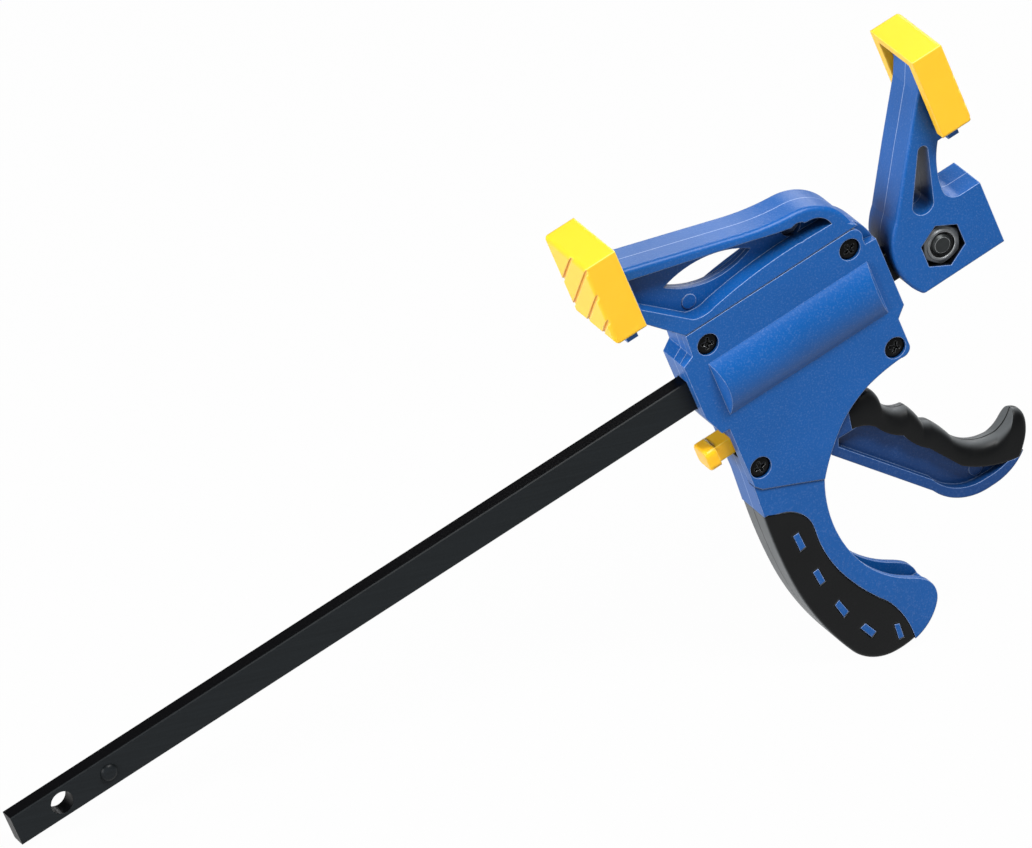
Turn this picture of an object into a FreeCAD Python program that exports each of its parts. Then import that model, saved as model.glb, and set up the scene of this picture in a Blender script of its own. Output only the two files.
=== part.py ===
import FreeCAD, Part
import math
import os
import Sketcher

os.makedirs("parts", exist_ok=True)
doc = FreeCAD.newDocument("bar_clamp")
Vector = FreeCAD.Vector

# Driving sizes in millimetres and degrees, grouped by the piece that they belong to.
# The clamp is drawn with x along the bar, y toward the jaws and z toward the viewer,
# from the centre of the hole that the bar hangs by.
SIZES = [
    # Bar
    ("bar_length", 397.0),
    ("bar_height", 12.0),
    ("bar_thick", 6.3),
    ("bar_bevel", 0.45),
    ("hang_hole", 8.4),
    ("hang_to_end", 18.5),
    ("hang_to_stud", 19.0),
    # Stop stud
    ("stud_shank", 4.0),
    ("stud_head", 6.5),
    ("stud_rise", 1.3),
    # Fixed jaw and its bolt
    ("jaw_thick", 18.0),
    ("jaw_reach", 20.8),
    ("jaw_rise", 72.0),
    ("jaw_round", 1.2),
    ("hex_pocket", 15.1),
    ("bolt_size", 8.0),
    ("bolt_hex", 13.0),
    ("bolt_head_high", 5.2),
    ("bolt_chamfer", 1.1),
    ("nut_hex_high", 3.7),
    ("nut_collar_high", 1.1),
    ("nut_turn", 12.0),
    ("ring_outer", 10.6),
    ("ring_inner", 8.6),
    ("ring_high", 0.9),
    ("hex_bevel", 0.9),
    # Pads
    ("pad_depth", 12.5),
    ("pad_height", 33.1),
    ("pad_width", 29.5),
    ("pad_round", 1.6),
    ("pad_wall", 4.0),
    ("pad_roof", 3.0),
    ("groove_pitch", 11.0),
    ("groove_wide", 1.3),
    ("groove_deep", 0.9),
    ("ridge_pitch", 6.1),
    ("ridge_wide", 1.1),
    ("ridge_deep", 0.7),
    ("bolt_to_pad", 12.8),
    ("fixed_pad_foot", 42.0),
    ("moving_pad_foot", 43.1),
    ("pad_reach", 8.1),
    ("plate_inset", 3.0),
    ("plate_thick", 4.4),
    ("plate_drop", 4.6),
    # Housing, jaw arm and grip, which are one moulding
    ("house_to_bolt", 20.6),
    ("house_width", 80.7),
    ("house_drop", 56.5),
    ("house_top", 26.4),
    ("house_thick", 17.0),
    ("arm_rise", 38.2),
    ("web_thick", 4.0),
    ("spine_round", 1.6),
    ("recess_radius", 3.9),
    ("mark_radius", 2.7),
    ("mark_rise", 0.3),
    ("grip_thick", 16.0),
    ("grip_length", 79.0),
    ("channel_wide", 11.0),
    ("cover_thick", 4.0),
    ("cover_gap", 0.35),
    ("side_bevel_wide", 4.6),
    ("side_bevel_deep", 1.0),
    ("cavity_wide", 12.4),
    ("slot_play", 0.2),
    ("bulge_start", 8.2),
    ("bulge_stop", 6.6),
    ("bulge_width", 22.8),
    ("bulge_high", 4.0),
    ("bulge_slope", 26.0),
    ("bore_radius", 9.4),
    ("bore_inset", 1.7),
    ("skin_thick", 1.0),
    ("skin_gap", 0.3),
    ("grip_round", 1.4),
    ("strap_thick", 1.5),
    # Screws and their posts
    ("post_radius", 3.9),
    ("screw_head", 7.6),
    ("screw_sink", 8.1),
    ("screw_sink_deep", 2.2),
    ("screw_head_high", 1.5),
    ("screw_shank", 3.4),
    ("screw_length", 12.0),
    # Trigger and its pin
    ("pivot_drop", 22.0),
    ("pin_size", 4.0),
    ("pin_play", 0.06),
    ("pin_seat", 1.3),
    ("trigger_reach", 57.0),
    ("trigger_drop", 77.2),
    ("trigger_thick", 12.0),
    ("trigger_web", 5.0),
    ("core_thick", 9.0),
    ("nose_radius", 3.0),
    ("nose_back", 3.8),
    ("nose_rise", 11.4),
    ("boss_radius", 5.5),
    # Drive plates, brake plate and springs
    ("plate_play", 0.15),
    ("drive_thick", 2.5),
    ("drive_height", 28.0),
    ("drive_wide", 11.6),
    ("drive_lean", 6.0),
    ("brake_thick", 3.0),
    ("brake_wide", 11.6),
    ("brake_in", 11.8),
    ("brake_top", 14.8),
    ("brake_drop", 44.0),
    ("brake_lean", 7.0),
    ("rib_thick", 2.0),
    ("rib_drop", 13.0),
    ("wire_size", 1.2),
    ("coil_radius", 7.8),
    ("drive_turns", 6.0),
    ("brake_turns", 4.0),
    # Release button
    ("button_head_at", 4.7),
    ("button_head_thick", 4.4),
    ("button_head_high", 8.7),
    ("button_head_wide", 10.0),
    ("button_round", 2.6),
    ("button_edge", 1.0),
    ("button_centre", 26.6),
    ("stem_high", 6.2),
    ("stem_wide", 8.0),
    ("stem_lift", 0.6),
    ("flange_thick", 1.5),
    ("flange_lip", 2.2),
    ("button_hole_foot", 31.8),
    # Cutters run past the faces that they leave by this much.
    ("overrun", 6.0),
]

CORNER = False
BEND = True

# Spine of the jaw arm, from its straight run to the shoulder over the housing.
ARM_TOP_SHARES = [
    (0.460737, 0.583518, CORNER),
    (0.580358, 0.516330, BEND),
    (0.702874, 0.479081, CORNER),
    (0.850330, 0.340709, BEND),
    (0.925652, 0.039267, CORNER),
]

# Right side of the housing, down to the finger curve.
SHOULDER_SHARES = [
    (0.973978, 0.407080, BEND),
    (0.998761, 0.297345, CORNER),
    (1.000000, -0.230088, CORNER),
    (0.950434, -0.284956, CORNER),
    (0.950434, -0.499115, CORNER),
    (0.934325, -0.532743, BEND),
    (0.892193, -0.541593, CORNER),
    (0.809170, -0.552212, BEND),
    (0.722429, -0.576991, CORNER),
    (0.604709, -0.649558, BEND),
    (0.500620, -0.768142, CORNER),
    (0.431227, -0.877876, BEND),
    (0.372986, -1.000000, CORNER),
]

# Lower edge of the side cover.
GROOVE_SHARES = [
    (0.372986, -1.000000, CORNER),
    (0.234201, -0.900885, CORNER),
    (0.101611, -0.808850, CORNER),
    (0.074349, -0.761062, CORNER),
]

# Left side of the housing, up past the bar to the neck.
LEFT_SHARES = [
    (0.074349, -0.290265, CORNER),
    (0.037175, -0.290265, CORNER),
    (0.000000, -0.143363, CORNER),
    (0.000000, 0.261947, CORNER),
    (0.050805, 0.307965, CORNER),
    (0.058240, 0.467257, CORNER),
]

# Underside of the jaw arm.
ARM_FOOT_SHARES = [
    (0.058240, 0.000000, CORNER),
    (-0.074349, 0.324607, CORNER),
]

# Sunk web between the two rims of the jaw arm.
ARM_WEB_SHARES = [
    (-0.075589, 0.502618, CORNER),
    (0.117720, 0.102094, CORNER),
    (0.164808, 0.075916, BEND),
    (0.226766, 0.094241, CORNER),
    (0.462206, 0.162304, BEND),
    (0.660471, 0.178010, CORNER),
    (0.841388, 0.162304, CORNER),
    (0.828996, 0.230366, BEND),
    (0.747212, 0.327225, CORNER),
    (0.610905, 0.397906, BEND),
    (0.483271, 0.484293, CORNER),
    (-0.075589, 0.837696, CORNER),
]

# Lens-shaped window through the web.
LENS_SHARES = [
    (0.076828, 0.450262, CORNER),
    (0.282528, 0.492147, BEND),
    (0.494424, 0.298429, CORNER),
    (0.282528, 0.235602, BEND),
]

# Rounded corner of the side cover beside its upper right screw.
COVER_SHOULDER_SHARES = [
    (0.898389, 0.467257, CORNER),
    (0.938042, 0.435398, BEND),
    (0.940520, 0.364602, CORNER),
    (0.940520, 0.316814, CORNER),
    (0.998761, 0.297345, CORNER),
]

# Hollow inside the housing, open at the lower right for the trigger.
CAVITY_SHARES = [
    (0.029740, -0.150442, CORNER),
    (0.029740, 0.223009, CORNER),
    (0.087980, 0.274336, CORNER),
    (0.087980, 0.424779, CORNER),
    (0.895911, 0.424779, CORNER),
    (0.969021, 0.272566, CORNER),
    (0.969021, -0.207080, CORNER),
    (0.920694, -0.265487, CORNER),
    (0.920694, -0.470796, CORNER),
    (1.007435, -0.637168, CORNER),
    (0.710037, -1.097345, CORNER),
    (0.358116, -0.996460, CORNER),
    (0.283767, -0.884956, CORNER),
    (0.256506, -0.707965, CORNER),
    (0.209418, -0.584071, CORNER),
    (0.104089, -0.584071, CORNER),
    (0.104089, -0.332743, CORNER),
    (0.063197, -0.286726, CORNER),
]

# Backstrap of the grip.
GRIP_SPINE_SHARES = [
    (0.061538, -0.004049, CORNER),
    (0.055919, 0.178454, BEND),
    (0.061876, 0.360948, CORNER),
    (0.102679, 0.622742, BEND),
    (0.189765, 0.872462, CORNER),
]

# Heel of the grip, up to the end of the soft skin.
GRIP_HEEL_SHARES = [
    (0.259711, 0.958648, BEND),
    (0.362166, 0.998399, CORNER),
    (0.414646, 0.999973, BEND),
    (0.466756, 0.993433, CORNER),
]

# Toe and finger curve of the grip.
GRIP_TOE_SHARES = [
    (0.553454, 0.956347, BEND),
    (0.619374, 0.887904, CORNER),
    (0.636646, 0.812710, BEND),
    (0.602660, 0.743716, CORNER),
    (0.578597, 0.722213, BEND),
    (0.553022, 0.702614, CORNER),
    (0.448719, 0.603213, BEND),
    (0.376507, 0.477548, CORNER),
    (0.329959, 0.239119, BEND),
    (0.372986, -0.000000, CORNER),
]

# Front edge of the soft skin, from the heel up to its round shoulder.
SKIN_EDGE_SHARES = [
    (0.465923, 0.900000, BEND),
    (0.418835, 0.739241, CORNER),
    (0.338290, 0.608861, BEND),
    (0.280050, 0.474684, CORNER),
    (0.250310, 0.353165, BEND),
    (0.245353, 0.208861, CORNER),
    (0.219331, 0.089873, BEND),
    (0.144981, 0.027848, CORNER),
]

# Hollow of the grip, open toward the fingers.
CHANNEL_SHARES = [
    (0.221809, 0.069620, CORNER),
    (0.197026, 0.221519, BEND),
    (0.214374, 0.373418, CORNER),
    (0.261462, 0.613924, BEND),
    (0.363073, 0.816456, CORNER),
    (0.437423, 0.900000, BEND),
    (0.524164, 0.884810, CORNER),
    (0.566295, 0.821519, CORNER),
    (0.685254, 0.821519, CORNER),
    (0.685254, 0.550633, CORNER),
    (0.462206, 0.424051, CORNER),
    (0.425031, 0.069620, CORNER),
]

# Five small windows that the blue grip shows through.
NUB_SHARES = [
    [(0.1450, 0.1658, CORNER), (0.1735, 0.1646, CORNER), (0.1784, 0.2481, CORNER), (0.1487, 0.2532, CORNER)],
    [(0.1623, 0.3873, CORNER), (0.1908, 0.3861, CORNER), (0.1970, 0.4620, CORNER), (0.1698, 0.4658, CORNER)],
    [(0.1945, 0.6025, CORNER), (0.2206, 0.5899, CORNER), (0.2392, 0.6684, CORNER), (0.2107, 0.6823, CORNER)],
    [(0.2590, 0.7823, CORNER), (0.2875, 0.7747, CORNER), (0.3172, 0.8430, CORNER), (0.2887, 0.8557, CORNER)],
    [(0.4040, 0.8658, CORNER), (0.4263, 0.8759, CORNER), (0.4213, 0.9506, CORNER), (0.3965, 0.9456, CORNER)],
]

# Lower edge of the trigger, from inside the housing round to its tip.
TRIGGER_RIM_SHARES = [
    (-0.182456, 0.207254, CORNER),
    (-0.224561, 0.375648, CORNER),
    (0.271930, 0.844560, CORNER),
    (0.424561, 0.965026, BEND),
    (0.631579, 1.000000, CORNER),
    (0.789474, 0.979275, BEND),
    (0.898246, 0.927461, CORNER),
]

# Lower edge of the trigger's soft skin, a wave under the fingers.
RUBBER_EDGE_SHARES = [
    (0.859649, 0.948187, CORNER),
    (0.666667, 0.901554, BEND),
    (0.501754, 0.816062, CORNER),
    (0.356140, 0.637306, CORNER),
    (0.280702, 0.569948, BEND),
    (0.238596, 0.500000, CORNER),
    (0.168421, 0.455959, BEND),
    (0.101754, 0.380829, CORNER),
    (0.035088, 0.336788, BEND),
    (-0.045614, 0.316062, CORNER),
]

# Finger waves of the soft skin and its upturned tip.
RUBBER_TOP_SHARES = [
    (-0.010526, 0.176166, CORNER),
    (0.052632, 0.196891, CORNER),
    (0.147368, 0.209845, BEND),
    (0.203509, 0.279793, CORNER),
    (0.238596, 0.367876, BEND),
    (0.343860, 0.409326, CORNER),
    (0.382456, 0.474093, BEND),
    (0.396491, 0.525907, CORNER),
    (0.445614, 0.551813, CORNER),
    (0.491228, 0.608808, BEND),
    (0.536842, 0.689119, CORNER),
    (0.659649, 0.782383, BEND),
    (0.810526, 0.810881, CORNER),
    (0.901754, 0.782383, BEND),
    (0.954386, 0.743523, CORNER),
    (1.000000, 0.769430, BEND),
    (1.000000, 0.834197, CORNER),
]

# Blue core of the trigger under the soft skin.
CORE_SHARES = [
    (0.870175, 0.875648, CORNER),
    (0.675439, 0.847150, BEND),
    (0.519298, 0.756477, CORNER),
    (0.378947, 0.595855, CORNER),
    (0.178947, 0.422280, CORNER),
    (0.070175, 0.259067, CORNER),
]

# Sunk side of the trigger between its rim and the soft skin.
TRIGGER_WEB_SHARES = [
    (-0.147368, 0.318653, CORNER),
    (-0.166667, 0.357513, CORNER),
    (0.298246, 0.794041, CORNER),
    (0.438596, 0.914508, BEND),
    (0.624561, 0.948187, CORNER),
    (0.736842, 0.943005, BEND),
    (0.814035, 0.924870, CORNER),
    (0.859649, 0.875648, CORNER),
    (0.515789, 0.751295, CORNER),
    (0.098246, 0.323834, CORNER),
]

# Back of the fixed jaw, from under its pad down to the foot.
JAW_LEFT_SHARES = [
    (0.759615, 0.933333, CORNER),
    (0.596154, 0.825000, CORNER),
    (-0.009615, 0.541667, CORNER),
    (-0.600962, 0.255556, CORNER),
    (-0.884615, 0.030556, BEND),
    (-0.634615, -0.175000, CORNER),
]

# Block of the fixed jaw and the hollow above it.
JAW_RIGHT_SHARES = [
    (1.000000, -0.170833, CORNER),
    (1.000000, 0.194444, CORNER),
    (0.644231, 0.194444, CORNER),
    (0.408654, 0.226389, BEND),
    (0.360577, 0.290278, CORNER),
    (0.403846, 0.388889, BEND),
    (0.605769, 0.530556, CORNER),
]

# Drop-shaped window of the fixed jaw.
DROP_SHARES = [
    (0.317308, 0.552778, BEND),
    (0.384615, 0.513889, CORNER),
    (0.134615, 0.241667, CORNER),
    (-0.067308, 0.211111, BEND),
    (-0.245192, 0.276389, CORNER),
    (0.211538, 0.536111, CORNER),
]

# Centre of the round hole that nicks the upper rim of the arm.
RECESS_SHARE = [
    (0.695167, 0.272251, CORNER),
]

# Centre of the ejector mark on the trigger's sunk side.
TRIGGER_MARK_SHARE = [
    (0.592982, 0.898964, CORNER),
]

# Centre of the ejector mark on the arm's web.
MARK_SHARE = [
    (0.154895, 0.178010, CORNER),
]

class Size:
    """A length with the sheet expression that gives it."""

    def __init__(self, value, text):
        self.value = value
        self.text = text

    def __add__(self, other):
        return Size(self.value + other.value, "(%s + %s)" % (self.text, other.text))

    def __sub__(self, other):
        return Size(self.value - other.value, "(%s - %s)" % (self.text, other.text))

    def __neg__(self):
        return Size(-self.value, "(0 - %s)" % self.text)

    def __mul__(self, share):
        return Size(self.value * share, "(%s * %.6f)" % (self.text, share))


NIL = Size(0.0, "0")


def make_sheet():
    """Put the driving sizes into a sheet and hand back one Size for each."""
    sheet = doc.addObject("Spreadsheet::Sheet", "sizes")
    sizes = {}
    for row, (alias, value) in enumerate(SIZES, start=1):
        sheet.set("A%d" % row, alias)
        sheet.set("B%d" % row, str(value))
        sheet.setAlias("B%d" % row, alias)
        sizes[alias] = Size(value, "sizes." + alias)
    doc.recompute()
    return sizes


S = make_sheet()


def spread(shares, x_zero, x_span, y_zero, y_span):
    """Turn a table of shares into points that keep their expressions."""
    return [(x_zero + x_span * sx, y_zero + y_span * sy, kind) for sx, sy, kind in shares]


# The bolt hole is as far from its end of the bar as the hang hole is from the other end.
# The housing stands beside the fixed jaw, and everything in it is placed from its left side.
BAR_LEFT = -S["hang_to_end"]
BAR_RIGHT = BAR_LEFT + S["bar_length"]
BOLT_AT = BAR_RIGHT - S["hang_to_end"]
HOUSE_AT = BOLT_AT - S["house_to_bolt"] - S["house_width"]


def on_house(shares):
    return spread(shares, HOUSE_AT, S["house_width"], NIL, S["house_drop"])


def on_arm(shares):
    return spread(shares, HOUSE_AT, S["house_width"], S["house_top"], S["arm_rise"])


def on_grip(shares):
    return spread(shares, HOUSE_AT, S["house_width"], -S["house_drop"], -S["grip_length"])


def on_trigger(shares):
    return spread(shares, PIVOT_X, S["trigger_reach"], PIVOT_Y, -S["trigger_drop"])


def on_jaw(shares):
    return spread(shares, BOLT_AT, S["jaw_reach"], NIL, S["jaw_rise"])


def box(x_low, y_low, x_high, y_high):
    """Four corners of an upright rectangle."""
    return [(x_low, y_low, CORNER), (x_high, y_low, CORNER),
            (x_high, y_high, CORNER), (x_low, y_high, CORNER)]


def corner(x, y):
    return [(x, y, CORNER)]


def bend(x, y):
    return [(x, y, BEND)]


def polygon(x_mid, y_mid, radius, count, turn):
    """Corners of a regular polygon, the first one turned by so many degrees."""
    points = []
    for step in range(count):
        angle = math.radians(turn + 360.0 * step / count)
        points += corner(x_mid + radius * math.cos(angle), y_mid + radius * math.sin(angle))
    return points


def rounded(x_low, y_low, x_high, y_high, radius):
    """A rectangle with round corners."""
    near = 1.0 - math.sqrt(0.5)
    points = []
    for x, y, way_x, way_y, turn in ((x_low, y_low, 1, 1, 0), (x_high, y_low, -1, 1, 1),
                                     (x_high, y_high, -1, -1, 0), (x_low, y_high, 1, -1, 1)):
        upright = corner(x, y + radius * way_y)
        level = corner(x + radius * way_x, y)
        middle = bend(x + radius * (near * way_x), y + radius * (near * way_y))
        points += (level if turn else upright) + middle + (upright if turn else level)
    return points


def inset(points, distance):
    """Move an open run of points to the right of its direction by a distance."""
    spots = [Vector(x.value, y.value) for x, y, _ in points]
    moved = []
    for index, (x, y, kind) in enumerate(points):
        before = side_normal(points, spots, index, -1)
        after = side_normal(points, spots, index, 1)
        if before is None:
            before = after
        if after is None:
            after = before
        scale = 1.0 / (1.0 + before.dot(after))
        way = (before + after) * scale
        moved.append((x + distance * way.x, y + distance * way.y, kind))
    return moved


def side_normal(points, spots, index, step):
    """Right-hand normal at a point, toward its neighbour run on one side."""
    count = len(points)
    other = index + step
    if other < 0 or other >= count:
        return None
    if points[index][2] == BEND:
        middle = circle_centre(spots[index - 1], spots[index], spots[index + 1])
        return face_way(spots[index] - middle, spots[index + 1] - spots[index - 1])
    if points[other][2] == BEND:
        last = spots[other + step]
        middle = circle_centre(spots[index], spots[other], last)
        return face_way(spots[index] - middle, (last - spots[index]) * step)
    along = (spots[other] - spots[index]) * step
    return Vector(along.y, -along.x).normalize()


def face_way(radial, along):
    """Unit radial direction that points to the right of the way along."""
    unit = Vector(radial).normalize()
    if unit.dot(Vector(along.y, -along.x)) < 0:
        unit = -unit
    return unit


def circle_centre(a, b, c):
    return Part.Arc(Vector(a), Vector(b), Vector(c)).toShape().Curve.Center


class Drawing:
    """A sketch on one plane of a body's own origin, with every point pinned to the sheet."""

    def __init__(self, body, name, role="XY_Plane", lift=None):
        self.sketch = body.newObject("Sketcher::SketchObject", name)
        plane = [f for f in body.Origin.OriginFeatures if f.Role == role][0]
        self.sketch.AttachmentSupport = [(plane, "")]
        self.sketch.MapMode = "FlatFace"
        if lift is not None:
            self.sketch.setExpression(".AttachmentOffset.Base.z", lift.text)
        self.rules = []
        self.texts = []

    def rule(self, constraint, text=None):
        self.rules.append(constraint)
        self.texts.append(text)

    def pin(self, geometry, place, x, y):
        self.rule(Sketcher.Constraint("DistanceX", -1, 1, geometry, place, x.value), x.text)
        self.rule(Sketcher.Constraint("DistanceY", -1, 1, geometry, place, y.value), y.text)

    def circle(self, x, y, radius):
        shape = Part.Circle(Vector(x.value, y.value), Vector(0, 0, 1), radius.value)
        number = self.sketch.addGeometry(shape, False)
        self.pin(number, 3, x, y)
        self.rule(Sketcher.Constraint("Radius", number, radius.value), radius.text)
        return self

    def outline(self, points):
        """Draw a closed outline of lines and three-point arcs."""
        count = len(points)
        first = [p[2] for p in points].index(CORNER)
        points = points[first:] + points[:first]
        ends = []
        index = 0
        while index < count:
            start = points[index]
            bent = points[(index + 1) % count][2] == BEND
            middle = points[(index + 1) % count] if bent else None
            index += 2 if bent else 1
            ends.append(self.run(start, middle, points[index % count]))
        for number, (geometry, head, tail) in enumerate(ends):
            follower, next_head, _ = ends[(number + 1) % len(ends)]
            self.rule(Sketcher.Constraint("Coincident", geometry, tail, follower, next_head))
        return self

    def run(self, start, middle, end):
        """Add one line or arc, pin its start and hand back its two ends."""
        a = Vector(start[0].value, start[1].value)
        b = Vector(end[0].value, end[1].value)
        if middle is None:
            number = self.sketch.addGeometry(Part.LineSegment(a, b), False)
            self.pin(number, 1, start[0], start[1])
            return number, 1, 2
        m = Vector(middle[0].value, middle[1].value)
        clockwise = (m - a).cross(b - m).z < 0
        arc = Part.Arc(b, m, a) if clockwise else Part.Arc(a, m, b)
        number = self.sketch.addGeometry(arc, False)
        head, tail = (2, 1) if clockwise else (1, 2)
        self.pin(number, head, start[0], start[1])
        spot = self.sketch.addGeometry(Part.Point(m), True)
        self.pin(spot, 1, middle[0], middle[1])
        self.rule(Sketcher.Constraint("PointOnObject", spot, 1, number))
        return number, head, tail

    def done(self):
        self.sketch.addConstraint(self.rules)
        for number, text in enumerate(self.texts):
            if text is not None:
                self.sketch.setExpression("Constraints[%d]" % number, text)
        self.sketch.Visibility = False
        return self.sketch


def new_body(name):
    body = doc.addObject("PartDesign::Body", name)
    body.Label = name
    body.AllowCompound = True
    return body


def solid(kind, body, drawing, length, middle=False, reverse=False, slope=None):
    """Pad or pocket a drawing by a length."""
    sketch = drawing.done()
    feature = body.newObject("PartDesign::" + kind, sketch.Name + "_" + kind.lower())
    feature.Profile = sketch
    feature.setExpression("Length", length.text)
    feature.SideType = "Symmetric" if middle else "One side"
    feature.Reversed = reverse
    if slope is not None:
        feature.setExpression("TaperAngle", slope.text)
    doc.recompute()
    if "Invalid" in feature.State or feature.Shape.isNull():
        print("feature fault", feature.Name)
    return feature


def pad(body, drawing, length, **ways):
    return solid("Pad", body, drawing, length, **ways)


def pocket(body, drawing, length, **ways):
    return solid("Pocket", body, drawing, length, **ways)


def turned(body, drawing, kind="Revolution"):
    """Turn a half section round the upright axis of its drawing."""
    sketch = drawing.done()
    feature = body.newObject("PartDesign::" + kind, sketch.Name + "_turned")
    feature.Profile = sketch
    feature.ReferenceAxis = (sketch, ["V_Axis"])
    feature.Angle = 360.0
    doc.recompute()
    return feature


def face_at(feature, normal, height):
    """Name of the largest flat face with this normal at this height along it."""
    best = None
    for number, face in enumerate(feature.Shape.Faces, start=1):
        if face.Surface.TypeId != "Part::GeomPlane":
            continue
        way = face.normalAt(0, 0)
        if way.dot(normal) < 0.999:
            continue
        if abs(face.CenterOfMass.dot(normal) - height) > 0.001 * abs(height):
            continue
        if best is None or face.Area > best[1]:
            best = ("Face%d" % number, face.Area)
    return best[0]


def rim_edges(feature, points, levels):
    """Names of the edges at these heights that lie along a run of points."""
    run = []
    index = 0
    while index < len(points) - 1:
        step = 2 if points[index + 1][2] == BEND else 1
        spots = [Vector(x.value, y.value) for x, y, kind in points[index:index + step + 1]]
        run.append(Part.Arc(*spots).toShape() if step == 2 else Part.makeLine(*spots))
        index += step
    run = Part.Compound(run)
    names = []
    for number, edge in enumerate(feature.Shape.Edges, start=1):
        spots = edge.discretize(5)
        slack = edge.Length * 0.002
        if all(min(abs(spot.z - level.value) for level in levels) < slack for spot in spots):
            flat = [Part.Vertex(spot.x, spot.y, 0) for spot in spots]
            if all(run.distToShape(spot)[0] < slack for spot in flat):
                names.append("Edge%d" % number)
    return names


def soften(body, feature, names, radius):
    """Round the named edges, or every edge of the named faces."""
    fillet = body.newObject("PartDesign::Fillet", feature.Name + "_round")
    fillet.Base = (feature, names)
    fillet.setExpression("Radius", radius.text)
    doc.recompute()
    if "Invalid" in fillet.State or fillet.Shape.isNull():
        print("feature fault", fillet.Name, len(names), "edges", fillet.State)
    return fillet


# Where the pivot, the brake plate and the spring rib stand, as shares of the housing's width.
PIVOT_SHARE = 0.610905
RIB_SHARE = 0.391574
PIVOT_X = HOUSE_AT + S["house_width"] * PIVOT_SHARE
BRAKE_AT = on_house(LEFT_SHARES)[0][0] + S["brake_in"]
RIB_AT = HOUSE_AT + S["house_width"] * RIB_SHARE
PIVOT_Y = -S["pivot_drop"]
HALF_HOUSE = S["house_thick"] * 0.5
HALF_GRIP = S["grip_thick"] * 0.5
HALF_CAVITY = S["cavity_wide"] * 0.5
PARTING = HALF_HOUSE - S["cover_thick"]
HALF_BAR = S["bar_thick"] * 0.5
HALF_HEIGHT = S["bar_height"] * 0.5
MOVING_PAD_AT = HOUSE_AT - S["pad_reach"]
MOVING_PLATE = MOVING_PAD_AT - S["plate_inset"]
FIXED_PAD_AT = BOLT_AT + S["bolt_to_pad"]
FIXED_PLATE = FIXED_PAD_AT + S["plate_inset"]
PLATE_HALF = S["pad_width"] * 0.5 - S["pad_wall"] - S["plate_play"]
PLATE_HIGH = S["pad_height"] - S["pad_roof"] - S["plate_play"]
BORE_AT = HOUSE_AT + S["bulge_start"] + S["bore_inset"]
BULGE_LENGTH = S["house_width"] - S["bulge_start"] - S["bulge_stop"]
BORE_LENGTH = BULGE_LENGTH - S["bore_inset"] * 2.0
FAR = S["overrun"]

# Centres of the four cover screws, as shares of the housing.
SCREW_SHARES = [(0.1338, 0.3239), (0.8699, 0.3451), (0.8860, -0.4531), (0.1326, -0.6584)]


def screw_spots():
    return [(HOUSE_AT + S["house_width"] * sx, S["house_drop"] * sy) for sx, sy in SCREW_SHARES]


def make_bar():
    """Flat bar with bevelled edges, its hang hole, stud hole and bolt hole."""
    body = new_body("bar")
    section = Drawing(body, "bar_section", "YZ_Plane", BAR_LEFT)
    bevel = S["bar_bevel"]
    points = []
    for way_y, way_z in ((-1, -1), (1, -1), (1, 1), (-1, 1)):
        side = corner(HALF_HEIGHT * way_y, (HALF_BAR - bevel) * way_z)
        flat = corner((HALF_HEIGHT - bevel) * way_y, HALF_BAR * way_z)
        points += side + flat if way_y * way_z > 0 else flat + side
    pad(body, section.outline(points), S["bar_length"])
    holes = Drawing(body, "bar_holes")
    holes.circle(NIL, NIL, S["hang_hole"] * 0.5)
    holes.circle(S["hang_to_stud"], NIL, S["stud_shank"] * 0.5)
    holes.circle(BOLT_AT, NIL, S["hang_hole"] * 0.5)
    pocket(body, holes, S["bar_height"], middle=True)
    return body


def make_stop_stud():
    """Riveted stud with a low dome on each face of the bar."""
    body = new_body("stop_stud")
    half = Drawing(body, "stud_half", "XZ_Plane")
    head = S["stud_head"] * 0.5
    shank = S["stud_shank"] * 0.5
    top = HALF_BAR + S["stud_rise"]
    flat = head * 0.35
    dome_x = head * 0.8
    dome_y = HALF_BAR + S["stud_rise"] * 0.68
    points = corner(NIL, -top) + corner(flat, -top) + bend(dome_x, -dome_y) + corner(head, -HALF_BAR)
    points += corner(shank, -HALF_BAR) + corner(shank, HALF_BAR)
    points += corner(head, HALF_BAR) + bend(dome_x, dome_y) + corner(flat, top) + corner(NIL, top)
    turned(body, half.outline(points))
    return body


def make_fixed_jaw():
    """Bolted jaw at the end of the bar, with its drop window and two hex pockets."""
    body = new_body("fixed_jaw")
    left = on_jaw(JAW_LEFT_SHARES)
    right = on_jaw(JAW_RIGHT_SHARES)
    points = corner(FIXED_PLATE, left[0][1]) + left[1:] + right + corner(FIXED_PLATE, right[-1][1])
    block = pad(body, Drawing(body, "jaw_outline").outline(points), S["jaw_thick"], middle=True)
    half = S["jaw_thick"] * 0.5
    soften(body, block, rim_edges(block, left, (half, -half)), S["jaw_round"])
    make_head_plate(body, FIXED_PLATE, FIXED_PLATE + S["plate_thick"], S["fixed_pad_foot"])
    window = Drawing(body, "drop_window").outline(on_jaw(DROP_SHARES))
    pocket(body, window, S["jaw_thick"] + FAR, middle=True)
    slot = Drawing(body, "bar_socket")
    slot.outline(box(BOLT_AT - S["jaw_reach"], -HALF_HEIGHT, BAR_RIGHT, HALF_HEIGHT))
    pocket(body, slot, S["bar_thick"], middle=True)
    bore = Drawing(body, "bolt_bore").circle(BOLT_AT, NIL, S["hang_hole"] * 0.5)
    pocket(body, bore, S["jaw_thick"] + FAR, middle=True)
    radius = S["hex_pocket"] * (0.5 / math.cos(math.radians(30.0)))
    for name, reverse in (("nut_pocket", True), ("head_pocket", False)):
        lift = -HALF_BAR if name == "head_pocket" else HALF_BAR
        hexagon = Drawing(body, name, "XY_Plane", lift)
        hexagon.outline(polygon(BOLT_AT, NIL, radius, 6, 30.0))
        pocket(body, hexagon, S["jaw_thick"], reverse=reverse)
    return body


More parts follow.
